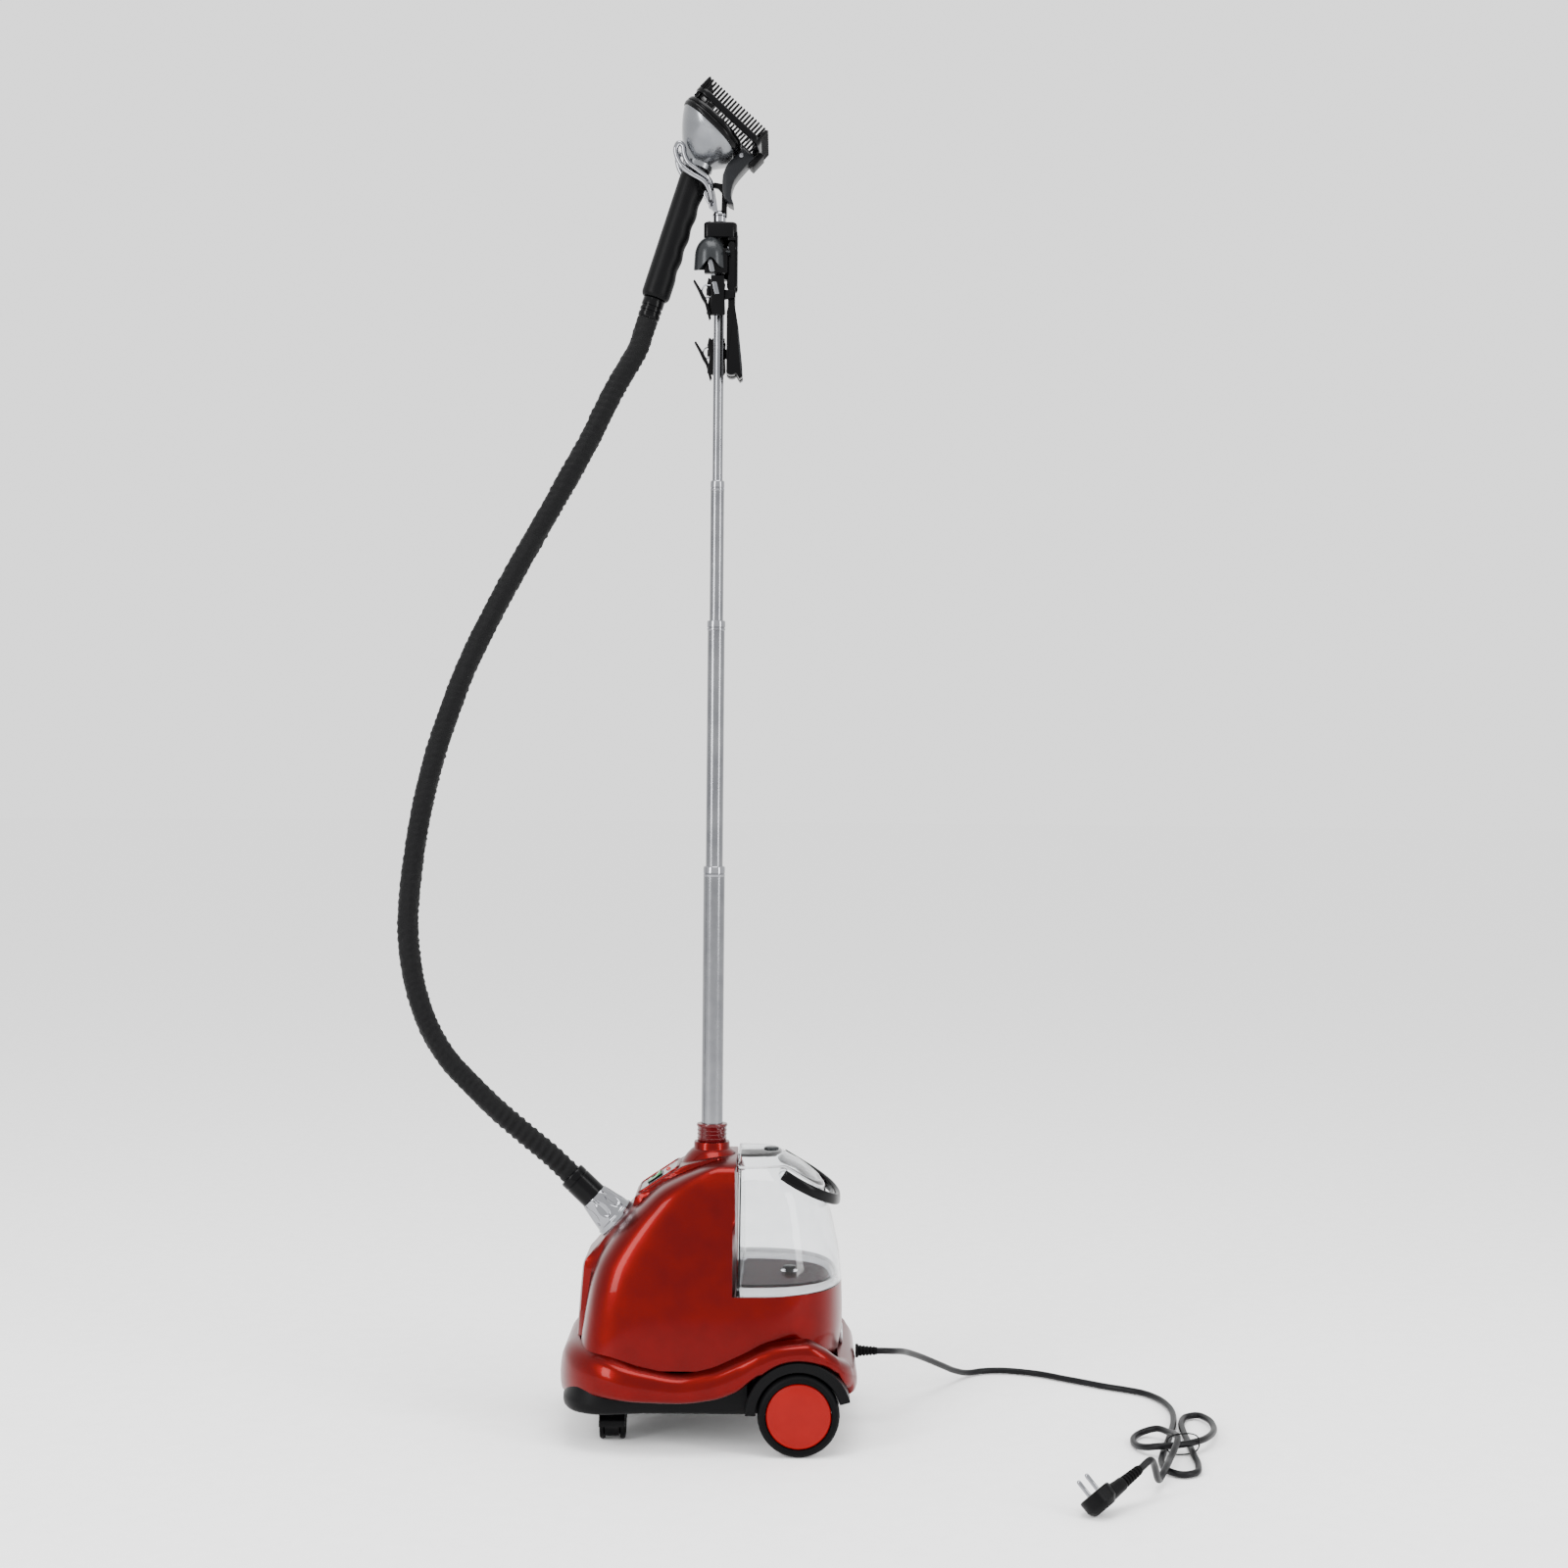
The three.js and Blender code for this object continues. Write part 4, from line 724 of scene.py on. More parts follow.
# ---- base --------------------------------------------------------------------------------------------
def rounded_plan(low: float, high: float, half: float, low_radius: float, high_radius: float,
                 step: float = 5.0) -> list[tuple[Vector, Vector]]:
    """A rectangle with rounded corners, as evenly spaced points with their outward directions.

    Args:
        low: Its lowest X.
        high: Its highest X.
        half: Its half width.
        low_radius: Radius of the corners at low X.
        high_radius: Radius of the corners at high X.
        step: Distance between points.

    Returns:
        Points and outward directions, counterclockwise from above.
    """
    stations: list[tuple[Vector, Vector]] = []
    corners = [(high - high_radius, half - high_radius, high_radius, 0.0),
               (low + low_radius, half - low_radius, low_radius, 0.5 * math.pi),
               (low + low_radius, low_radius - half, low_radius, math.pi),
               (high - high_radius, high_radius - half, high_radius, 1.5 * math.pi)]
    for index, (x, y, radius, start) in enumerate(corners):
        count = max(3, round(radius * math.pi / 2 / step))
        for i in range(count + 1):
            turn = start + math.pi / 2 * i / count
            out = Vector((math.cos(turn), math.sin(turn), 0))
            stations.append((Vector((x, y, 0)) + out * radius, out))
        nx, ny, nr, nstart = corners[(index + 1) % 4]
        out = Vector((math.cos(nstart), math.sin(nstart), 0))
        here, there = stations[-1][0], Vector((nx, ny, 0)) + out * nr
        between = max(1, round((there - here).length / step))
        stations += [(here.lerp(there, i / between), out) for i in range(1, between)]
    return stations


NOSE_HALF = 46.0
HUMP_HALF = 40.0
SEAM_X = 30.0
DECK_Z = 172.0
WHEEL_X, WHEEL_Z = 103.0, 46.0
BODY_HALF = smooth_table([(88, 123.5), (172, 115), (214, 107), (245, 98), (263, 92), (284, 84), (300, 75),
                          (308, 69), (312, 61), (314.2, 49), (315.2, 30)])
BODY_FRONT = smooth_table([(88, -149.5), (130, -143.5), (170, -137), (198, -129), (222, -115.5), (245, -97.5),
                           (266, -78), (284, -58), (298, -32), (308, -6), (314, 13), (315.2, 18)])
NOSE_FRONT = smooth_table([(92, -152), (190, -146.5), (197, -144.5), (202, -140), (252.9, -92), (257, -86),
                           (259.5, -75), (262, -55)])
HUMP_FRONT = smooth_table([(240, -92), (268, -88), (271, -85.5), (274, -80.5), (302, -38.5), (306, -31),
                           (314, 0), (315, 8)])
BODY_REAR = smooth_table([(92, 150), (130, 154), (172, 153)])
POLE_X = 24.0  # the sections are drawn round this line
SIDE_EDGE = 6  # how sharply the body's front turns into its sides


def corner_blend(distances: Sequence[float], hardness: float) -> float:
    """The nearest of some distances, rounded where two are alike."""
    return sum(d ** -hardness for d in distances) ** (-1 / hardness)


def body_ring(z: float, rear: bool, sides: int = 200) -> Ring:
    """The plan of the body at one height.

    Args:
        z: The height.
        rear: Whether the D-shaped rear body is there, or the flat face at the seam.
        sides: Points round it.

    Returns:
        The ring.
    """
    ring = []
    half = BODY_HALF(z)
    for i in range(sides):
        turn = math.tau * i / sides
        c, s = math.cos(turn), abs(math.sin(turn)) + 1e-6
        if c >= 0:
            if rear:
                reach = ((c / (BODY_REAR(z) - POLE_X)) ** 2.5 + (s / half) ** 2.5) ** -0.4
            else:
                reach = corner_blend([(SEAM_X - POLE_X) / max(c, 1e-6), half / s], 40)
        else:
            reach = corner_blend([(BODY_FRONT(z) - POLE_X) / c, half / s], SIDE_EDGE)
            steps = []
            if z < 262:
                steps.append(corner_blend([(NOSE_FRONT(z) - POLE_X) / c, NOSE_HALF / s], 24))
            if z > 240:
                steps.append(corner_blend([(HUMP_FRONT(z) - POLE_X) / c, HUMP_HALF / s], 24))
            for other in steps:
                reach = (reach ** 36 + other ** 36) ** (1 / 36)
        ring.append(Vector((POLE_X + reach * c, reach * math.sin(turn), z)))
    return ring


@dataclass
class Base:
    """The body, its skirt, the control panel and the tray under them."""

    half_length: float = 170.0
    half_width: float = 142.0
    arch_radius: float = 60.0
    tray_inset: float = 18.3
    front_corner: float = 92.0
    rear_corner: float = 66.0
    bay_half: float = 54.0  # half the length of the bay round each rear wheel
    bay_side: float = 113.5  # the tray's side there
    tray_bulge: float = 12.0  # how far its foot comes forward under the skirt
    tray_floor: float = 42.0
    skirt_top: Sequence[Pair] = ((-175, 112), (-131, 108), (-70, 95), (-32, 89), (0, 94), (35, 108),
            (71, 123),
                                 (113, 128), (135, 121), (154, 108), (175, 94))
    skirt_foot: Sequence[Pair] = ((-175, 50), (-155, 56), (-119, 61), (-76, 59), (-32, 58), (6, 62), (35, 72),
                                  (50, 84), (60, 90), (146, 90), (152, 80), (166, 66), (175, 60))
    skirt_profile: Sequence[Pair] = ((0.0, 9), (0.02, 4.5), (0.08, 1.6), (0.2, 0.3), (0.38, 0), (0.55, 0.7),
                                     (0.7, 2.2), (0.81, 4.6), (0.89, 8), (0.95, 12.5), (0.985, 17.5),
                                             (1.0, 22))

    def shell(self) -> None:
        """The lacquered body: one skin from the skirt to the mast socket, with its deck for the tank."""
        low = [91 + 81 * i / 16 for i in range(17)]
        high = [DECK_Z + (256 - DECK_Z) * i / 28 for i in range(29)] + [256 + 59 * i / 56 for i in range(1,
                57)]
        skin = loft([*(body_ring(z, True) for z in low), *(body_ring(z, False) for z in high)])
        cone = turned([(0, 296), (38.5, 296), (36.5, 303), (33, 309), (28.5, 315), (25, 318.5), (23.2, 320),
                       (21.5, 321), (21, 322.5), (21, 327.5), (20.2, 329), (0, 329)], 72)
        (skin + cone).object("body_cover", PEARL_RED, "root", "body_shell", sharp=30)

    def skirt(self) -> None:
        """The wavy lacquered apron, with a rolled lip and an arch over each rear wheel."""
        top, foot = smooth_table(self.skirt_top), smooth_table(self.skirt_foot)
        rings = []
        for point, out in rounded_plan(-self.half_length, self.half_length, self.half_width,
                                      self.front_corner, self.rear_corner, 3.5):
            low = foot(point.x)
            beside = abs(point.x - WHEEL_X)
            if abs(point.y) > 100 and beside < self.arch_radius:
                low = max(low, WHEEL_Z + math.sqrt(self.arch_radius ** 2 - beside ** 2))
            elif abs(point.y) <= 100 and point.x > 0:
                low = 60
            high = top(point.x)
            wall = [point - out * inset + Vector((0, 0, low + (high - low) * share))
                    for share, inset in self.skirt_profile]
            inner = [point - out * 23 + Vector((0, 0, high - 1.5)),
                     point - out * 20 + Vector((0, 0, high - 6)),
                     point - out * 17 + Vector((0, 0, low))]
            rings.append([*wall, *inner])
        loft(rings, closed=True).object("skirt_cover", PEARL_RED, "root", "skirt", sharp=50)

    def tray(self) -> None:
        """The black tray with a liner round the top of each rear wheel."""
        plan = rounded_plan(self.tray_inset - self.half_length, self.half_length - self.tray_inset,
                            self.half_width - self.tray_inset, 43, 47, 6)
        levels = [(self.tray_floor, 7), (self.tray_floor + 1.2, 3.4), (self.tray_floor + 4, 0.8),
                  (self.tray_floor + 8, 0), (self.tray_floor + 14, 0), (88, 3)]
        rings = []
        for z, inset in levels:
            ring = []
            for p, out in plan:
                forward = max(0.0, min(1.0, (-70 - p.x) / 70)) * (self.tray_bulge if z < 57 else 0)
                point = p + out * (forward - inset)
                if abs(point.x - WHEEL_X) < self.bay_half:
                    point.y = max(-self.bay_side, min(self.bay_side, point.y))
                ring.append(point + Vector((0, 0, z)))
            rings.append(ring)
        tray = loft(rings)
        for side in (-1, 1):
            liner = []
            for i in range(49):
                turn = 0.27 + (math.pi - 0.27) * i / 48
                spoke = Vector((math.cos(turn), 0, math.sin(turn)))
                corner = [(47.8, 137.0), (48.8, 138.0), (58.6, 138.0), (59.6, 137.0), (59.6, 108.0),
                          (47.8, 108.0)]
                liner.append([Vector((WHEEL_X, side * y, WHEEL_Z)) + spoke * r for r, y in corner])
            tray = tray + loft(liner)
        tray.object("base_tray", GRAINED_BLACK, "root", "chassis_pan", sharp=40)
        screws = grown("tray_screws", {"Length": 0.2, "Width": 0.18, "Along": 3, "Across": 2, "Tip": 0.0035,
                                       "Root": 0.0045, "Height": 0.002}, rows_of_teeth, CHROME)
        dress("tray_screws", moved(screws, at_point(-10, 0, self.tray_floor - 0.6)), CHROME, "root")

    def panel(self) -> None:
        """The silver inlay on the hump's slope, its raised rim, the lit rocker and the lamp."""
        slope = math.atan2(30, 45)
        on_slope = at_point(-83, 0, 272) @ turned_by(-slope, "Y")
        plate = rounded_plan(1.5, 52.5, 32, 7, 7, 2.5)
        inlay = loft([[p - o * inset + Vector((0, 0, z)) for p, o in plan_levels]
                      for plan_levels, z, inset in ((plate, -1.5, 0), (plate, 1.0, 0), (plate, 1.4, 0.5))])
        inlay.at(on_slope).object("panel_inlay", SILVER, "root", "control_panel", sharp=30)
        rim_rings = [[p + o * inset + Vector((0, 0, z)) for inset, z in
                      ((0.2, -2), (0.2, 1.6), (0.9, 2.5), (2.1, 2.5), (3.2, 1.2), (3.4, -2))] for p,
                     o in plate]
        loft(rim_rings, closed=True).at(on_slope).object("panel_rim", PEARL_RED, "root", sharp=50)
        bezel_plan = rounded_plan(22 - 10, 22 + 10, 12.8, 2.5, 2.5, 1.2)
        bezel = [[p + o * inset + Vector((0, 0, z)) for inset,
                  z in ((0, 0.5), (0, 3.2), (-1.2, 3.2), (-1.2, 0.5))]
                 for p, o in bezel_plan]
        loft(bezel, closed=True).at(on_slope).object("switch_bezel", SMOOTH_BLACK, "root", sharp=30)
        rocker = slab([(-8, 0.5), (8, -0.5), (8, 4.4), (4, 3.2), (0, 2.7), (-4, 3.2), (-8, 4.6)], -10.8, 10.8)
        lean = on_slope @ at_point(22, 0, 0) @ turned_by(math.radians(-7), "Y")
        rocker.at(lean).object("switch_rocker", GREEN_LENS, "switch", "power_switch", bevel=0.6)
        lamp = turned([(0, 0.4), (3, 0.4), (3, 1.9), (2.6, 2.9), (1.6, 3.7), (0, 4.0)], 32)
        lamp.at(on_slope @ at_point(40, 0, 0)).object("lamp_lens", RED_LENS, "root", "indicator_lamp")

    def seat(self) -> None:
        """The maroon seat that the tank stands on, and the blank rating plate on the body's rear."""
        levels = [(172.3, 0.0), (174.6, 0.0), (175.3, 1.0)]
        seat = loft([TANK.outline(TANK.seat_rear - inset, TANK.seat_half - inset, TANK.front + 5 + inset, z)
                     for z, inset in levels])
        seat.object("tank_seat", MAROON_FLAT, "root", "valve_seat", sharp=30)
        plate = []
        for i in range(48):
            turn = math.tau * i / 48
            plate.append(Vector((0, 19 * math.cos(turn), 104 + 12 * math.sin(turn))))
        loft([[p + Vector((x, 0, 0)) for p in plate] for x in (151.5, 154.6)]).object(
            "rating_plate", PLATE_PAINT, "root", bevel=0.5)

    def inner(self) -> None:
        """The sealed inner pieces: boiler, thermostat and the two pipes."""
        turned_at(at_point(-70, 0, 0), [(0, 62), (41, 62), (45, 67), (45, 114), (42, 119), (35, 122),
                  (0, 122)]).object("boiler_body", ALUMINIUM, "root", "boiler", sharp=30)
        turned_at(at_point(-46, 0, 0), [(0, 122.3), (9, 122.3), (9, 128), (5, 131), (0, 131)],
                  24).object("boiler_thermostat", SILVER, "root", "thermostat", sharp=30)
        steam = curve_through([(-70, 0, 122.3), (-70, 0, 150), (-73, 0, 182), (-82, 0, 208),
                (-97.8, 0, 224.3)], 4)
        tube(steam, lambda a, t: 5.0, 16).object("steam_tube", SATIN_GREY, "root", "steam_pipe")
        feed = curve_through([(92, 0, 149.5), (92, 0, 125), (76, 16, 92), (50, 28, 78), (10, 31, 76),
                              (-14, 25, 78), (-27.8, 20, 80)], 4)
        tube(feed, lambda a, t: 5.0, 16).object("feed_tube", SATIN_GREY, "root", "feed_pipe")

    def build(self) -> None:
        """Builds the base."""
        for make in (self.shell, self.skirt, self.tray, self.panel, self.seat, self.inner):
            make()


# ---- water tank --------------------------------------------------------------------------------------
@dataclass
class Tank:
    """The clear lift-off tank with its lid, cap, valve and carrying bail."""

    wall: float = 2.6
    floor: float = 172.2
    top: float = 320.0
    front: float = SEAM_X + 2.0
    valve_x: float = 92.0
    seat_rear: float = 139.0
    seat_half: float = 71.0
    lug_x: float = 84.0
    lug_z: float = 302.0
    cap_x: float = 70.0
    rear: Sequence[Pair] = ((172, 153), (182, 152), (206, 149.4), (227, 145), (245, 141), (258, 137.4),
            (272, 134),
                            (286, 128.5), (295, 118.4), (305, 105.3), (311, 93.3), (316, 86), (320, 79.5))
    half: Sequence[Pair] = ((172, 115), (214, 107), (245, 98), (263, 92), (284, 82), (301, 70), (311, 58),
            (316, 50),
                            (320, 39))
    rim: Sequence[Pair] = ((20, 308), (72, 308), (84, 307), (107, 295.5), (125, 283), (140, 272), (165, 254))

    def outline(self, rear: float, half: float, front: float, z: float) -> Ring:
        """A D-shaped plan.

        Args:
            rear: Its rear end.
            half: Its half width.
            front: Its flat front.
            z: The height that it is drawn at.

        Returns:
            The ring.
        """
        start = front + 6
        ring = []
        for i in range(73):
            turn = -math.pi / 2 + math.pi * i / 72
            c, s = math.cos(turn), math.sin(turn)
            reach = ((max(c, 0) / (rear - start)) ** 2.5 + (abs(s) / half) ** 2.5) ** -0.4
            ring.append(Vector((start + reach * c, reach * s, z)))
        corner, low_corner = Vector((front, half - 5, z)), Vector((front, 5 - half, z))
        return [*ring, Vector((front + 1.6, half - 0.7, z)), corner,
                *(corner.lerp(low_corner, i / 12) for i in range(1, 12)), low_corner,
                Vector((front + 1.6, 0.7 - half, z))]

    def section(self, z: float, inset: float, level: float | None = None) -> Ring:
        """The tank's own plan at one height, some way inside it, drawn at that level or another."""
        rear, half = smooth_table(self.rear)(z) - inset, smooth_table(self.half)(z) - inset
        return self.outline(rear, half, self.front + inset, level or z)

    def sheet(self, shares: Sequence[float], inset: float, lid: bool) -> list[Ring]:
        """Rings of the wall between its lower and its upper edge, which one of them is the slanting rim.

        Args:
            shares: How far up each ring is, from 0 to 1.
            inset: How far inside the outside it is.
            lid: Whether it is the lid above the rim, or the vessel below it.

        Returns:
            The rings.
        """
        rim = smooth_table(self.rim)
        levels = [self.section(self.floor + (self.top - self.floor) * i / 96, inset) for i in range(97)]
        span = self.top - self.floor
        rings = []
        for share in shares:
            ring = []
            for i, start in enumerate(levels[0]):
                x = start.x
                for _ in range(5):
                    edge = rim(x) + (0.25 if lid else -0.25)
                    low, high = (edge, self.top) if lid else (self.floor, edge)
                    z = low + (high - low) * share
                    place = min(95.999, (z - self.floor) / span * 96)
                    point = levels[int(place)][i].lerp(levels[int(place) + 1][i], place % 1)
                    x = point.x
                ring.append(point)
            rings.append(ring)
        return rings

    def vessel(self) -> None:
        """The vessel: its walls, its thin floor, the milky foot round the seat and the valve's collar."""
        rise = [i / 26 for i in range(27)]
        outer, inner = self.sheet(rise, 0, False), self.sheet([0.05 + 0.95 * r for r in rise], self.wall,
                False)
        low = [self.section(178, self.wall), self.section(173, self.wall)]
        loft([*outer, *reversed(inner), *low], closed=True).object("tank_vessel", CLEAR, "tank", "tank_shell",
                sharp=30)
        wide, narrow = (149.5, 111.8, self.front + 2.8), (self.seat_rear + 0.6, self.seat_half + 0.6,
                self.front + 4.6)
        profile = [(0, 172.6), (0, 180.6), (0.08, 181.2), (0.3, 179.4), (0.35, 177.8), (0.4, 178.4),
                   (0.8, 175),
                   (0.96, 174), (1, 173.4), (1, 172.6)]
        foot = []
        for share, z in profile:
            rear, half, front = (a + (b - a) * share for a, b in zip(wide, narrow))
            foot.append(self.outline(rear, half, front, z))
        loft(foot, closed=True).object("tank_foot", MILKY_CLEAR, "tank", sharp=30)
        floor = [self.outline(self.seat_rear + 3, self.seat_half + 3, self.front + 3.6, z) for z in (175.6,
                177)]
        loft(floor).object("tank_floor", THIN_CLEAR, "tank", sharp=30)
        turned_at(at_point(self.valve_x, 0, 0), [(6, 177.5), (10, 177.5), (10, 180.6), (6, 180.6)], 40,
                  closed=True).object("valve_collar", THIN_CLEAR, "tank", sharp=30)

    def lid(self) -> None:
        """The domed lid down to its slanting rim, the seal there and the lugs that carry the bail."""
        rise = [math.sin(i / 18 * math.pi / 2) for i in range(19)]
        outer, inner = self.sheet(rise, 0, True), self.sheet(rise, self.wall, True)
        inner = [[Vector((p.x, p.y, min(p.z, self.top - self.wall))) for p in ring] for ring in inner]
        count = len(outer[0])
        skin = loft([*reversed(outer), *inner], caps=False)
        skin.faces += [tuple(range(count)), tuple(range(len(skin.points) - count, len(skin.points)))]
        skin.object("tank_cover", CLEAR, "tank", "tank_lid", sharp=30)
        edge, inside = self.sheet([0], -0.3, True)[0], self.sheet([0], 0.9, True)[0]
        drop = Vector((0, 0, 1.3))
        seal = [[a + drop, a - drop, b - drop, b + drop] for a, b in zip(edge, inside)]
        loft(seal, closed=True).object("lid_seal", MILKY_CLEAR, "tank", sharp=30)
        for side in (-1, 1):
            turn = at_point(self.lug_x, 0, self.lug_z) @ turned_by(-side * math.pi / 2, "X")
            turned_at(turn, [(0, 54), (5.5, 54), (5.5, 63), (3, 63.5), (3, 70), (5, 70.4), (4.6, 73),
                    (0, 73.4)],
                      32).object(f"bail_lug_{'far' if side > 0 else 'near'}", CLEAR, "tank", sharp=30)

    def cap(self) -> None:
        """The round filler cap on the lid's flat top."""
        turned_at(at_point(self.cap_x, 0, 0), [(0, 311), (6.8, 311), (6.8, 319.8), (8.8, 320.2), (9, 321),
                  (8.4, 322), (6.4, 322.7), (3, 322.9), (0, 322.9)], 48).object("filler_cap", SATIN_GREY,
                          "cap",
                                                                            "fill_cap", sharp=50)

    def valve(self) -> None:
        """The spring valve in the tank's floor."""
        turned_at(at_point(self.valve_x, 0, 0), [(0, 160), (3, 160), (3, 176), (4.5, 178),
                  (4.5, 181), (7, 181), (7, 182.6), (5.4, 183.4), (0, 183.6)], 32).object(
            "floor_valve", SMOOTH_BLACK, "valve", "tank_valve", sharp=30)

    def bail(self) -> None:
        """The thick bail that lies round the lid, as a rounded band along one bow."""
        half = [(84, 69.5, 302), (92, 71, 297), (104, 71, 290), (122, 63.5, 280), (138.5, 44, 270.8),
                (145.8, 22, 266), (147.6, 0, 264.8)]
        bow = curve_through([*half, *((x, -y, z) for x, y, z in reversed(half[:-1]))], 4)
        rings = []
        for i, point in enumerate(bow):
            ahead = (bow[min(i + 1, len(bow) - 1)] - bow[max(i - 1, 0)]).normalized()
            out = Vector((point.x - 70, point.y, 0)).normalized()
            out = (out - ahead * out.dot(ahead)).normalized()
            up = ahead.cross(out)
            rings.append([point + out * 3.6 * math.copysign(abs(math.cos(t)) ** 0.55, math.cos(t))
                          + up * 6.4 * math.copysign(abs(math.sin(t)) ** 0.55, math.sin(t))
                          for t in (math.tau * k / 20 for k in range(20))])
        loft(rings).object("carrying_bail", SMOOTH_BLACK, "bail", "tank_bail", sharp=50)

    def build(self) -> None:
        """Builds the tank."""
        for make in (self.vessel, self.lid, self.cap, self.valve, self.bail):
            make()


TANK = Tank()


# ---- wheels ------------------------------------------------------------------------------------------
@dataclass
class RunningGear:
    """Rear wheels on their axle and twin-wheel casters at the front."""

    radius: float = 46.0
    width: float = 24.0
    inner: float = 118.0
    cap_radius: float = 36.5
    caster_x: float = -108.0
    caster_y: float = 75.0
    caster_radius: float = 17.0
    trail: float = 6.0

    def wheel(self, label: str, side: int, body: str) -> None:
        """One rear wheel and its cap.

        Args:
            label: near or far.
            side: -1 or 1, the wheel's side.
            body: The body that it rides on.
        """
        out = at_point(WHEEL_X, side * self.inner, self.radius) @ turned_by(
            -side * math.pi / 2, "X")
        r, w, c = self.radius, self.width, self.cap_radius
        tyre = [(c + 0.3, 2), (r - 4, 2), (r - 1.6, 3), (r - 0.4, 5), (r, 8), (r, w - 8), (r - 0.4, w - 5),
                (r - 1.8, w - 2.4), (r - 4, w - 0.8), (r - 6, w - 0.3), (c + 1.2, w - 0.8), (c + 0.3, w - 2)]
        turned_at(out, tyre, 96, closed=True).object(f"tyre_{label}", TYRE_RUBBER, body, f"wheel_{label}")
        cap = [(0, 3), (c, 3), (c, w - 3.4), (c - 0.5, w - 2.2), (c - 1.6, w - 1.5), (c - 2.6, w - 1.8),
               (c - 3.2, w - 1.9), (c - 6, w - 1.2), (24, w - 0.1), (12, w + 0.6), (0, w + 0.9)]
        turned_at(out, cap, 96).object(f"wheel_cap_{label}", PLAIN_RED, body, f"hub_cap_{label}", sharp=35)

    def caster(self, label: str, side: int) -> None:
        """One twin-wheel caster.

        Args:
            label: near or far.
            side: -1 or 1, the caster's side.
        """
        y, r = side * self.caster_y, self.caster_radius
        across = at_point(self.caster_x, y + self.trail, r) @ turned_by(math.pi / 2, "Y")
        stem = turned_at(at_point(self.caster_x, y, 0), [(0, 30), (3.5, 30), (3.5, 57), (0, 58)], 24)
        roof_rings = []
        for i in range(25):
            turn = math.pi * (0.02 + 0.96 * i / 24)
            spoke = Vector((0, math.cos(turn), math.sin(turn)))
            section = [(r + 0.8, -14.8), (r + 3.2, -14.8), (r + 4, -14), (r + 4, 14), (r + 3.2, 14.8),
                       (r + 0.8, 14.8)]
            roof_rings.append([Vector((self.caster_x + x, y + self.trail, r)) + spoke * s for s,
                    x in section])
        spine = turned_at(across, [(0, -8), (r + 2, -8), (r + 2, 8), (0, 8)], 48)
        spine.points = [Vector((p.x, p.y, max(p.z, 7.0))) for p in spine.points]
        collar = turned_at(at_point(self.caster_x, y, 0), [(0, 36), (7, 36), (7, 41.6), (0, 41.6)], 32)
        (loft(roof_rings) + stem + spine + collar).object(f"caster_hood_cover_{label}", SMOOTH_BLACK,
                                                         f"caster_{label}", f"caster_hood_{label}", sharp=30)
        profile = [(0, 8.6), (r - 1.5, 8.6), (r, 9.8), (r, 13.2), (r - 1.4, 14.5), (r - 4, 14.6),
                   (r - 5, 13.6),
                   (4, 13.6), (3.5, 14.4), (0, 14.4)]
        discs = turned_at(across, profile, 48) + turned_at(across, [(a, -b) for a, b in profile], 48)
        discs.object(f"caster_discs_{label}", GRAINED_BLACK, f"caster_{label}_roll", f"caster_wheels_{label}",
                     sharp=35)

    def axle(self) -> None:
        """The rear axle."""
        rod = grown("rear_axle_rod", {"Low": -0.136, "High": 0.136, "Radius": 0.004}, swept_tube, ALUMINIUM)
        place = at_point(WHEEL_X, 0, self.radius) @ turned_by(math.pi / 2, "X")
        dress("rear_axle_rod", moved(rod, place), ALUMINIUM, "root", "rear_axle")

    def build(self) -> None:
        """Builds wheels, axle and casters."""
        for label, side, body in (("near", -1, "wheel_left"), ("far", 1, "wheel_right")):
            self.wheel(label, side, body)
            self.caster(label, side)
        self.axle()


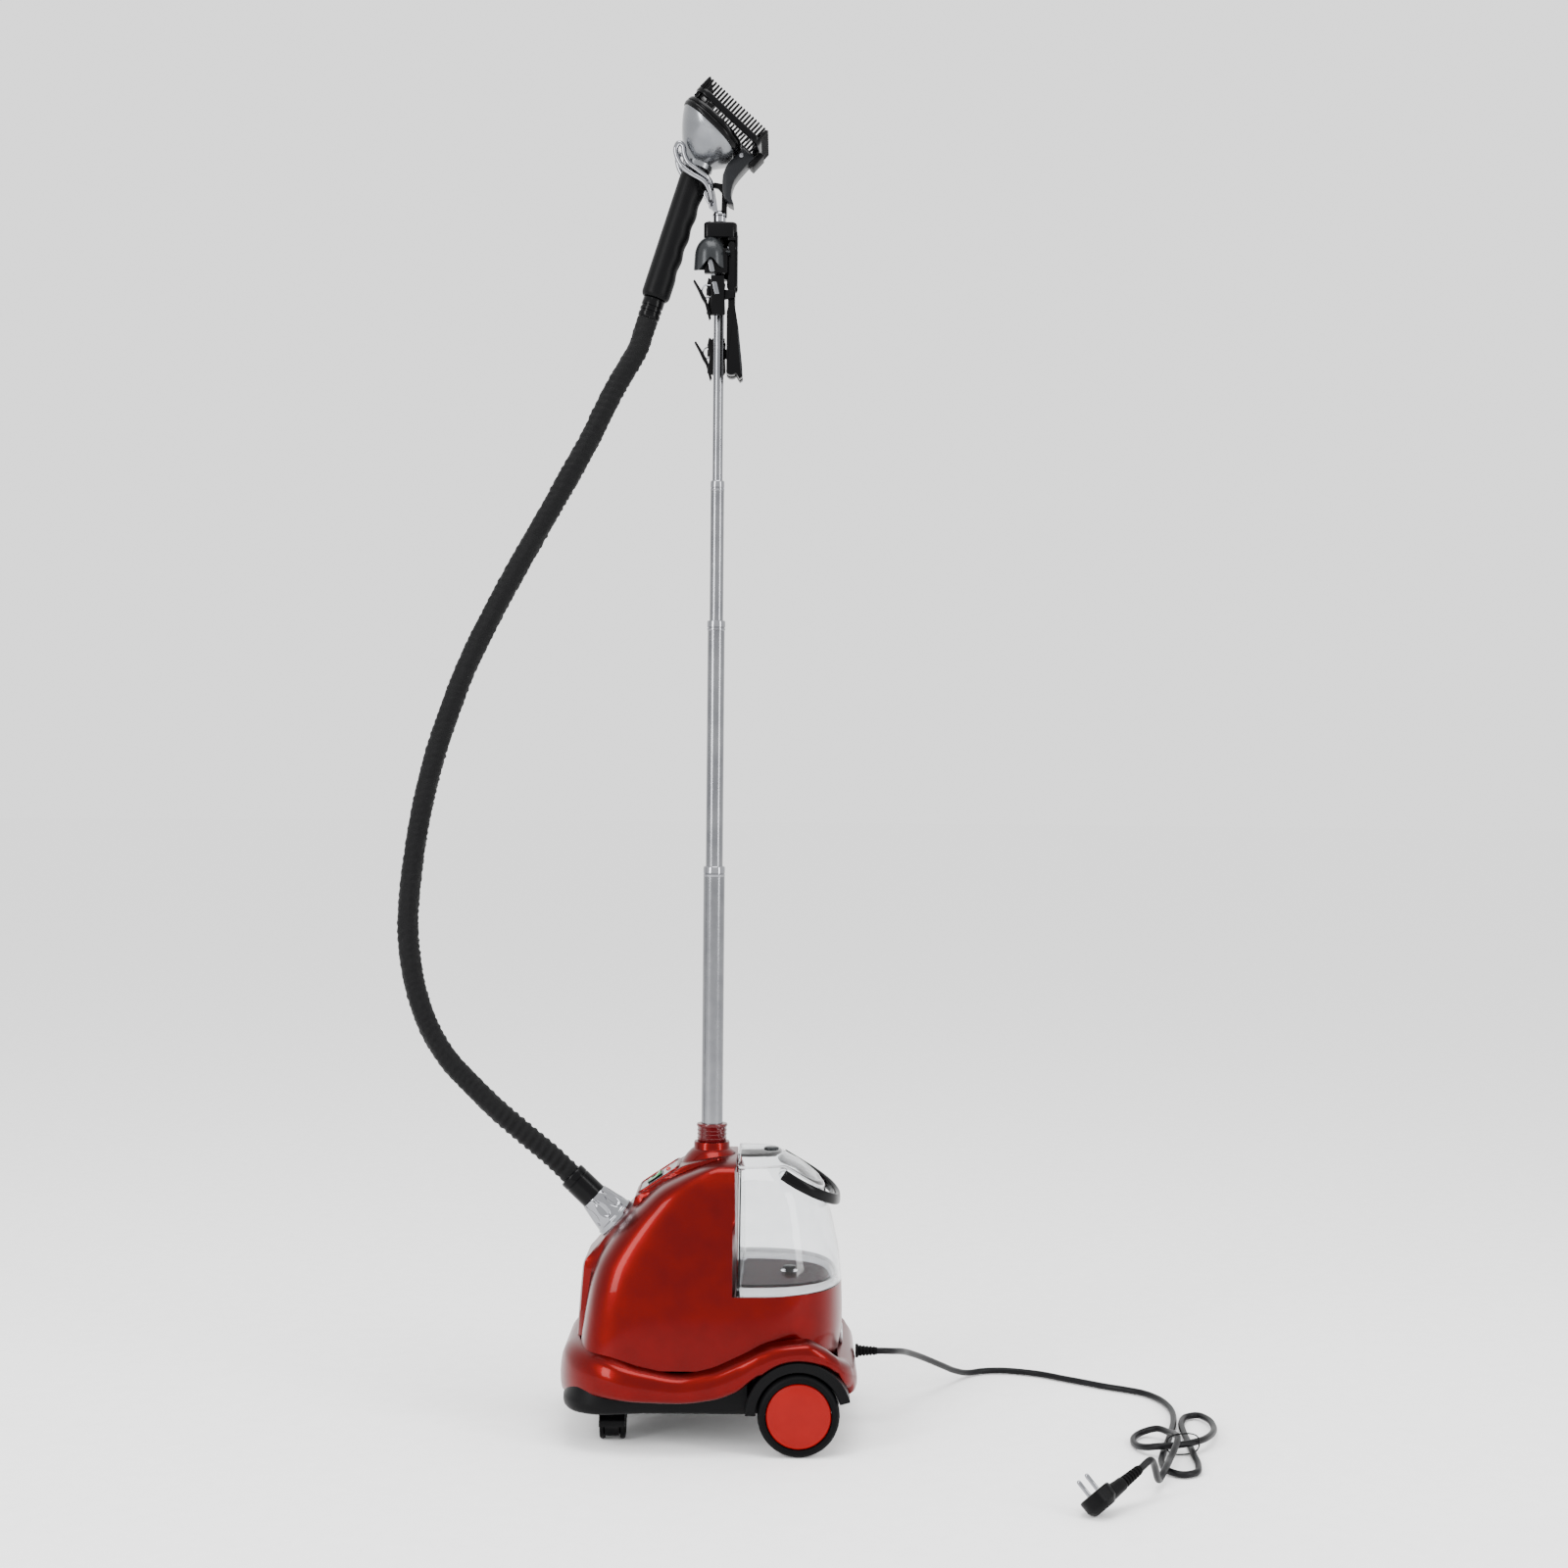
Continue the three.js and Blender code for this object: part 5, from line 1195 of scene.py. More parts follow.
# ---- mast --------------------------------------------------------------------------------------------
@dataclass
class Mast:
    """Four drawn tubes, each sliding in the one below, and the locking collar."""

    radii: Sequence[float] = (12.5, 10.0, 8.0, 6.0)
    tops: Sequence[float] = (651.0, 939.0, 1103.0, 1400.0)
    overlap: float = 70.0
    bodies: Sequence[str] = ("root", "mast_2", "mast_3", "mast_top")

    def section(self, index: int) -> None:
        """One tube, swept along its axis, and the rolled ferrule at its mouth."""
        radius, top = self.radii[index], self.tops[index]
        low = 47.0 if index == 0 else self.tops[index - 1] - self.overlap
        sizes = {"Low": low * MM, "High": (top - 11) * MM, "Radius": radius * MM}
        mesh = grown(f"mast_tube_{index + 1}", sizes, swept_tube, ALUMINIUM)
        dress(f"mast_tube_{index + 1}", mesh, ALUMINIUM, self.bodies[index], f"mast_section_{index + 1}")
        if index == 3:
            return
        proud = 0.75 if index == 1 else 0.25
        mouth = self.radii[index + 1] + 0.3
        lip = [(radius, top - 12), (radius + proud, top - 11.4), (radius + proud, top - 9.4),
               (radius - 0.2, top - 9), (radius - 0.2, top - 8.4), (radius + proud, top - 8),
               (radius + proud, top - 1.4), (radius + proud - 0.5, top - 0.4), (radius - 1, top),
               (mouth, top - 0.4),
               (mouth, top - 12)]
        turned(lip, 64, closed=True).object(f"mast_ferrule_{index + 1}", CHROME, self.bodies[index])

    def collar(self) -> None:
        """The maroon locking collar above the socket, with grip ribs."""
        turned([(12.8, 329.3), (16.6, 329.3), (17, 330), (17, 345.6), (17.8, 346.6), (18.2, 348),
                (17.6, 349.6),
                (16, 350), (12.8, 350)], 64, closed=True).object("lock_collar", MAROON, "collar",
                        "mast_collar",
                                                                sharp=50)
        ribs = grown("collar_ribs", {"Count": 3, "Length": 0.009, "Radius": 0.0169, "Bead": 0.0006},
                     row_of_rings, MAROON)
        dress("collar_ribs", moved(ribs, at_point(0, 0, 333)), MAROON, "collar", sharp=60)

    def build(self) -> None:
        """Builds the mast."""
        for index in range(4):
            self.section(index)
        self.collar()


# ---- mast head ---------------------------------------------------------------------------------------
@dataclass
class MastHead:
    """The bracket on the mast, its cover, the folding hanger arms with clips, and the handset's cradle."""

    pivot_z: float = 1373.0
    arm_length: float = 153.0
    clip_drop: dict[str, float] = field(default_factory=lambda: {"near": 56.0, "far": 118.0})
    prong_y: float = 22.0

    def bracket(self) -> None:
        """The black bracket: a sleeve on the mast, a top plate, ribs and a pale edge strip."""
        sleeve = turned([(6.4, 1338), (9.4, 1338), (10, 1339), (10, 1384), (6.4, 1384)], 48, closed=True)
        plate = rounded_plan(-18, 21, 18, 6, 8, 1.5)
        top = loft([[p - o * inset + Vector((0, 0, z)) for p, o in plate]
                    for z, inset in ((1384.4, 1.2), (1385.4, 0), (1400.5, 0), (1402.2, 0.7), (1403, 2.2))])
        cheek = box((19.2, -16.8, 1327), (20.8, 16.8, 1390))
        rib = box((-1.5, -16, 1345), (1.5, -9.6, 1385)) + box((-1.5, 9.6, 1345), (1.5, 16, 1385))
        (sleeve + top + cheek + rib).object("mast_bracket", SMOOTH_BLACK, "mast_top", "hanger_bracket",
                sharp=30)
        box((21, -15, 1330), (21.6, 15, 1392)).object("bracket_edge_strip", SATIN_GREY, "mast_top", bevel=0.2)
        for y in (-11.0, 11.0):
            turned_at(at_point(-12, y, 0), [(0, 1402.8), (3.1, 1402.8), (3.1, 1403.6), (2.2, 1404.4),
                      (0, 1404.7)], 24).object(f"plate_rivet_{'near' if y < 0 else 'far'}", CHROME,
                              "mast_top")

    def cover(self) -> None:
        """The satin grey hood over the near hinge: a thin shell, open below, notched for the pale tongue."""
        def hood(wide: float, deep: float, inset: float) -> list[Ring]:
            """Half rings of one skin of the hood, from its lower edge up."""
            rings = []
            for level in range(21):
                ring = []
                for i in range(41):
                    turn = math.pi * i / 40
                    notch = 11 * math.exp(-((turn - 1.5) / 0.42) ** 2)
                    low = 1347.5 + notch - 3 * math.exp(-((turn - 2.5) / 0.4) ** 2)
                    z = low + (1386 - inset - low) * math.sin(level / 20 * math.pi / 2)
                    swell = max(0.04, 1 - max(0.0, (z - 1362) / (24.4 - inset)) ** 2) ** 0.5
                    flare = 1 + 0.05 * max(0.0, (1362 - z) / 15)
                    ring.append(Vector((-10.3 + wide * swell * flare * math.cos(turn),
                                        -10.6 - inset - deep * swell * math.sin(turn), z)))
                rings.append(ring)
            return rings

        outer, inner = hood(18.4, 19.8, 0), hood(16.8, 16.6, 1.5)
        loft([*outer, *reversed(inner)], closed=True).object("hinge_hood", SATIN_GREY, "mast_top",
                "hinge_cover",
                                                             sharp=50)
        knuckle = box((-17, -21, 1342), (10.4, -12.4, 1371)) + box((10.4, -17.2, 1381), (20, -4, 1385))
        knuckle.object("hinge_knuckle", SMOOTH_BLACK, "mast_top", bevel=1.2)
        slab([(9, 1391), (22, 1391), (22, 1326), (15, 1318), (9, 1330)], -2.5, 2.5).object(
            "hanger_web", SMOOTH_BLACK, "mast_top", bevel=0.6)
        tongue = [(-13.4, 1358), (-7.6, 1358), (-4.2, 1342.5), (-10, 1342.5)]
        slab(tongue, -26.4, -23.6).object("hinge_tongue", SILVER, "mast_top", bevel=0.8)
        slab([(8.4, 1365.6), (13, 1364.8), (13, 1367.4), (8.4, 1367.6)], -24, -12).object(
            "hinge_step", SATIN_GREY, "mast_top", bevel=0.4)

    def arm(self, label: str, side: int) -> None:
        """One folded hanger arm with its trouser clip.

        Args:
            label: near or far.
            side: -1 or 1, the arm's side.
        """
        tip = self.pivot_z - self.arm_length
        middle = side * 10.0
        body = f"arm_{label}"
        outer = [(9.6, tip + 8)]
        outer += [(15.5 + 6 * math.cos(t), tip + 9 - 4.2 * math.sin(t)) for t in
                  (math.pi - math.pi * 0.85 * i / 8 for i in range(9))]
        outer += [(25, tip + 0.4), (28.6, tip + 3), (27.6, tip + 20), (23.4, tip + 60), (19, tip + 86),
                  (19, self.pivot_z + 4), (17, self.pivot_z + 6.8), (13, self.pivot_z + 6.8),
                  (11, self.pivot_z + 4), (11, tip + 84), (9.6, tip + 78)]
        slab(outer, middle - 6.2, middle + 6.2).object(f"hanger_arm_cover_{label}", SMOOTH_BLACK, body,
                                                      f"hanger_arm_{label}", bevel=0.9)
        edge = [(26.6, tip + 6), (27.6, tip + 6), (23.2, tip + 58), (22.3, tip + 58)]
        slab(edge, middle - 6.4, middle + 6.4).object(f"arm_edge_{label}", SATIN_GREY, body, bevel=0.15)
        pin = at_point(0, middle, self.pivot_z) @ turned_by(math.pi / 2, "Y")
        turned_at(pin, [(0, 10), (2.4, 10), (3.2, 10.4), (3.2, 10.9), (3.2, 21.2), (2.6, 21.9), (0, 22)],
                  24).object(f"arm_pin_{label}", CHROME, body, sharp=30)
        self.clip(label, side, body)

    def clip(self, label: str, side: int, body: str) -> None:
        """The trouser clip on an arm: a fixed jaw with thin levers and a sprung jaw.

        Args:
            label: near or far.
            side: -1 or 1.
            body: The arm's body.
        """
        z = self.pivot_z - self.clip_drop[label]
        inner = 16.8

        def span(low: float, high: float) -> tuple[float, float]:
            """A stretch across Y on this side."""
            return (-high, -low) if side < 0 else (low, high)

        y0, y1 = span(inner, inner + 3.8)
        fixed = slab([(-14, z - 22), (-12, z - 24), (6, z - 24), (8, z - 22), (7, z + 2), (8, z + 12),
                      (4, z + 20),
                      (-4, z + 14), (-12, z + 20), (-14, z + 10), (-11, z - 2)], y0, y1)
        fixed = fixed + slab([(6, z - 6), (20, z - 3), (20, z + 5), (6, z + 6)], y0, y1)
        y0, y1 = span(inner + 3, inner + 8.8)
        fixed = fixed + slab([(-14, z - 2), (-10, z - 2), (-10, z + 6), (-14, z + 6)], y0, y1)
        fixed.object(f"clip_plate_{label}", SMOOTH_BLACK, body, f"clip_body_{label}", bevel=0.5)
        lean = [(4.6, -24), (6.8, -24), (8, -4), (13, 20), (10.6, 21), (5.2, 2)]
        ring_low = [Vector((-8.6, side * (inner + a), z + b)) for a, b in lean]
        ring_high = [Vector((6.6, side * (inner + a), z + b)) for a, b in lean]
        loft([ring_low, ring_high]).object(f"clip_jaw_cover_{label}", SMOOTH_BLACK, f"jaw_{label}",
                                          f"clip_jaw_{label}", bevel=0.5)
        lever = [(-29.5, 14), (-27.6, 16), (-18, 1), (-13.2, -8), (-8.2, -28), (-10.6, -31), (-15.6, -12),
                 (-19.4, -6),
                 (-24, 4)]
        low, high = span(inner + 2, inner + 11)
        slab([(x, z + b) for x, b in lever], low, high).object(f"clip_lever_{label}", SMOOTH_BLACK, body,
                bevel=0.6)
        if side < 0:
            slab([(-9.6, 1339), (-4, 1339), (1.4, 1316), (-4.2, 1316)], -28.4, -25.6).object(
                "clip_tongue", SILVER, body, bevel=0.8)
        wire = curve_through([(-9, side * (inner + 4.3), z - 3), (-15.5, side * (inner + 5.5), z - 4),
                              (-19, side * (inner + 7), z + 3), (-16, side * (inner + 9.5), z + 9),
                              (-9, side * (inner + 10.5), z + 9)], 1.2)
        tube(wire, lambda a, t: 0.9, 10).object(f"clip_spring_{label}", CHROME, body)
        coil = [Vector((-1 + 9 * (i / 72 - 0.5), side * (inner + 5.2) + 1.9 * math.cos(i * 0.5),
                        z + 1.5 + 1.9 * math.sin(i * 0.5))) for i in range(73)]
        tube(coil, lambda a, t: 0.55, 8).object(f"clip_coil_{label}", CHROME, body)

    def cradle(self) -> None:
        """The chrome cradle: a turned stub, a riveted plate and a double wire that holds the cup."""
        stub = turned([(0, 1403.3), (8.5, 1403.3), (8.5, 1405), (7.4, 1406), (7.4, 1412), (8.2, 1413),
                       (8.2, 1415), (6.5, 1418), (4, 1419.4), (0, 1419.8)], 48)
        stub.object("cradle_stub", CHROME, "mast_top", sharp=30)
        bow = [(-10, 0.1, 1425), (-10, 0.5, 1429), (-11.5, 0.88, 1438), (-17, 1, 1447.5), (-33, 1, 1457.6),
               (-43.5, 1, 1466),
               (-49.6, 0.99, 1477), (-51, 0.97, 1486.5), (-47.4, 0.95, 1493), (-42.6, 0.96, 1489.5),
               (-41, 0.97, 1480),
               (-36.5, 0.98, 1470.4), (-24, 0.98, 1460.6), (-15, 0.9, 1454), (-10.5, 0.6, 1449),
               (-10, 0.2, 1443)]
        for side in (-1, 1):
            route = curve_through([(x, side * self.prong_y * y, z) for x, y, z in bow], 1.6)
            name = "near" if side < 0 else "far"
            nodes = ("cradle_fork",) if side < 0 else ()
            tube(route, lambda a, t: 3.1, 16).object(f"cradle_wire_{name}", CHROME, "mast_top", *nodes,
                    sharp=50)
        drop = [(-19.6, 1441), (-19, 1436), (-15.5, 1430), (-9, 1420.5), (-5, 1416.5), (-1.6, 1417),
                (-2.4, 1420),
                (-4, 1431), (-5.8, 1441), (-7.6, 1446), (-11.5, 1448.4), (-16.6, 1446)]
        slab(drop, -6, 6).object("cradle_plate", CHROME, "mast_top", bevel=2.4)
        eye = at_point(-11.6, -6, 1441) @ turned_by(math.pi / 2, "X")
        turned_at(eye, [(0, -0.6), (2.6, -0.6), (2.8, 0.2), (2, 0.8), (0, 1)], 24).object(
            "cradle_rivet", SMOOTH_BLACK, "mast_top", sharp=30)
        link = [(-7, 1452.4), (3.4, 1450.6), (8.4, 1443), (8.6, 1412), (3.4, 1409), (1.8, 1416), (2.6, 1440),
                (-2, 1445.6), (-8.4, 1447)]
        slab(link, -4, 4).object("cradle_link", SMOOTH_BLACK, "mast_top", bevel=1.0)

    def build(self) -> None:
        """Builds the mast head."""
        self.bracket()
        self.cover()
        for label, side in (("near", -1), ("far", 1)):
            self.arm(label, side)
        self.cradle()


# ---- handset -----------------------------------------------------------------------------------------
@dataclass
class Handset:
    """Grip, cup, steam face, brush attachment and fabric clamp."""

    foot: Point = (-75.5, 0.0, 1316.0)
    tilt: float = 17.7
    face_tilt: float = 25.0
    face_centre: Pair = (1.0, 204.0)
    face_length: float = 81.0
    face_width: float = 106.0
    grip_length: float = 152.0
    brush_low: float = -38.0
    brush_high: float = 60.0
    bezel_depth: float = 13.0
    brush_plate: float = 12.5
    tooth_length: float = 13.5

    @property
    def own(self) -> Matrix:
        """The handset's own frame: Z runs up the grip."""
        return Matrix.Translation(self.foot) @ turned_by(math.radians(self.tilt), "Y")

    @property
    def face(self) -> Matrix:
        """The steam face's frame: Z leaves the face and X runs down it."""
        return (self.own @ at_point(self.face_centre[0], 0, self.face_centre[1])
                @ turned_by(math.radians(self.face_tilt), "Y"))

    def plan(self, inset: float, z: float) -> Ring:
        """The face's rounded outline at one depth."""
        half = self.face_length / 2
        return [p - o * inset + Vector((0, 0, z))
                for p, o in rounded_plan(-half, half, self.face_width / 2, 34, 34, 3)]

    def grip(self) -> None:
        """The moulded grip with finger waves on its front, and the ribbed hose collar below it."""
        rings = []
        for i in range(81):
            z = self.grip_length * i / 80
            end = min(1.0, z / 5) ** 0.5 if z < 5 else 1.0
            taper = 1 - 0.06 * max(0.0, (z - 144) / 8) ** 2
            ring = []
            for k in range(48):
                turn = math.tau * k / 48
                front = max(0.0, math.cos(turn)) ** 2
                wave = 1.5 * front * (0.5 - 0.5 * math.cos(math.tau * (z - 24) / 27)) if 24 < z < 132 else 0
                radius = (14.6 + 2.3 * end) * taper - wave
                ring.append(Vector((radius * math.cos(turn), radius * math.sin(turn), z)))
            rings.append(ring)
        neck = [circle(15.4, 152.2, 48), circle(15.4, 158.8, 48)]
        loft([*rings, *neck]).at(self.own).object("grip_moulding", GRAINED_BLACK, "handset", "handset_grip",
                                                 sharp=50)
        turned_at(self.own, [(0, -25), (11.6, -25), (12.6, -24), (13, -22), (13, -19), (12, -18.4),
                (12, -16.6),
                  (13, -16), (13, -13), (12, -12.4), (12, -10.6), (13, -10), (13, -1.4), (12.2, -0.4),
                  (0, -0.4)], 48).object("hose_collar_cover", SMOOTH_BLACK, "handset", "handset_hose_collar",
                                         sharp=40)

    def cup(self) -> None:
        """The silver cup that opens from the neck to the bezel."""
        rim = [self.face @ p for p in self.plan(1.5, -0.3)]
        back = self.own.inverted()
        rim = [back @ p for p in rim]
        centre = sum(rim, Vector()) / len(rim)

        def round_ring(radius: float, z: float) -> Ring:
            """A ring about the grip's axis whose points face the rim's."""
            turns = [math.atan2(p.y, p.x - centre.x) for p in rim]
            return [Vector((radius * math.cos(t), radius * math.sin(t), z)) for t in turns]

        neck, throat = round_ring(16.4, 159.3), round_ring(17.4, 166)
        shares = [(0.06, 0.03), (0.14, 0.07), (0.24, 0.11), (0.36, 0.14), (0.5, 0.15), (0.64, 0.13),
                  (0.78, 0.09), (0.9, 0.045), (0.97, 0.015)]
        rings = [neck, round_ring(17.6, 160.2), throat]
        for share, swell in shares:
            rings.append([a.lerp(b, share) + Vector(((a.lerp(b, share).x) * swell, a.lerp(b, share).y * swell,
                    0))
                          for a, b in zip(throat, rim)])
        rings.append(rim)
        loft(rings).at(self.own).object("cup_shell", SILVER, "handset", "handset_cup", sharp=40)

    def bezel(self) -> None:
        """The two-layer black bezel with a groove between, and the steam plate in it."""
        levels = [(0.6, 0), (0, 0.8), (-0.7, 2.5), (-0.9, 5.2), (-0.4, 5.9), (0.7, 6.2), (0.7, 6.9),
                  (-0.4, 7.2),
                  (-0.7, 8), (0, 11.4), (1.2, 12.8), (3, 13), (11.6, 13), (12, 12.6), (12, 3), (2, 3)]
        rings = [self.plan(inset, z) for inset, z in levels]
        loft(rings, closed=True).at(self.face).object("bezel_ring", SMOOTH_BLACK, "handset", "handset_bezel",
                                                     sharp=40)
        plate = loft([self.plan(inset, z) for inset,
                      z in ((12.3, 3.3), (12.3, 9), (12.8, 10.6), (14, 12), (16, 12.6))])
        plate.at(self.face).object("steam_plate_cover", ALUMINIUM, "handset", "steam_plate", sharp=30)
        jets = grown("steam_jets", {"Length": 0.036, "Width": 0.052, "Along": 3, "Across": 5, "Tip": 0.0016,
                                    "Root": 0.0022, "Height": 0.0012}, rows_of_teeth, SMOOTH_BLACK)
        dress("steam_jets", moved(jets, self.face @ at_point(0, 0, 12.7)), SMOOTH_BLACK, "handset")

    def brush(self) -> None:
        """The brush attachment: a frame, see-through ribs, a carrier plate and rows of teeth."""
        back = self.bezel_depth + 0.3
        front = back + self.brush_plate
        wide = self.face_width / 2 - 2
        plan = rounded_plan(self.brush_low, self.brush_high, wide, 18, 10, 3)

        def ring(inset: float, z: float) -> Ring:
            """The frame's outline at one depth."""
            return [p - o * inset + Vector((0, 0, z)) for p, o in plan]

        levels = [(1.5, back + 5.4), (0.4, back + 5.8), (0, back + 6.8), (0, front - 1), (0.6, front),
                  (8.6, front),
                  (9, front - 0.6), (9, back + 5.6), (8.6, back + 5.4)]
        frame_ring = loft([ring(inset, z) for inset, z in levels], closed=True)
        posts = Shape()
        for p, o in plan[::3]:
            foot = p - o * 3.2
            posts = posts + box((foot.x - 1.1, foot.y - 1.4, back + 0.1),
                    (foot.x + 1.1, foot.y + 1.4, back + 6.2))
        (frame_ring + posts).at(self.face).object("brush_carrier", SMOOTH_BLACK, "brush", "brush_frame",
                sharp=35)
        long = self.brush_high - self.brush_low - 8
        middle = (self.brush_high + self.brush_low) / 2 + 1
        for label, side in (("near", -1), ("far", 1)):
            teeth = grown(f"brush_teeth_{label}", {
                "Length": long * MM, "Width": 0.003, "Along": 21, "Across": 2, "Tip": 0.001, "Root": 0.00135,
                "Height": (self.tooth_length + 1) * MM}, rows_of_teeth, SMOOTH_BLACK)
            place = self.face @ at_point(middle, side * (wide - 4.4), front - 1)
            dress(f"brush_teeth_{label}", moved(teeth, place), SMOOTH_BLACK, "brush", sharp=60)
        for label, along in (("upper", self.brush_low + 4.4), ("lower", self.brush_high - 4.4)):
            ends = grown(f"brush_teeth_{label}", {
                "Length": 0.003, "Width": 2 * (wide - 9) * MM, "Along": 2, "Across": 22, "Tip": 0.001,
                "Root": 0.00135, "Height": (self.tooth_length + 1) * MM}, rows_of_teeth, SMOOTH_BLACK)
            place = self.face @ at_point(along, 0, front - 1)
            dress(f"brush_teeth_{label}", moved(ends, place), SMOOTH_BLACK, "brush", sharp=60)

    def clamp(self) -> None:
        """The curved clamp lever at the face's lower end, with its grey block and pin."""
        start = self.face_length / 2 + 1.8
        blade = [(start, 12.6), (start, -14), (44, -20), (47, -27), (52, -33.5), (58.6, -40), (66.5, -45.4),
                 (74, -45.6), (80.4, -43.6), (75, -40.8), (70, -37.6), (66.5, -33), (63.6, -28), (61.2, -22),
                 (60.2, -15), (59.9, -6), (59.7, 1.7), (60.5, 8), (60.5, 12.6)]
        slab(blade, -14.5, 14.5).at(self.face).object("clamp_blade", DARK_GREY, "clamp", "clamp_lever",
                bevel=1.2)
        block = [(60.7, 3.5), (67, 3.5), (67, 22.2), (60.8, 22.2)]
        slab(block, -14.5, 14.5).at(self.face).object("clamp_block", GRAINED_BLACK, "clamp", bevel=0.8)
        pin = self.face @ at_point(start + 5, 0, 4) @ turned_by(math.pi / 2, "X")
        turned_at(pin, [(0, -16.4), (2, -16.2), (2.6, -15.6), (2.6, 15.6), (2, 16.2), (0, 16.4)], 24).object(
            "clamp_pin", CHROME, "clamp", sharp=30)

    def build(self) -> None:
        """Builds the handset."""
        for make in (self.grip, self.cup, self.bezel, self.brush, self.clamp):
            make()


HANDSET = Handset()


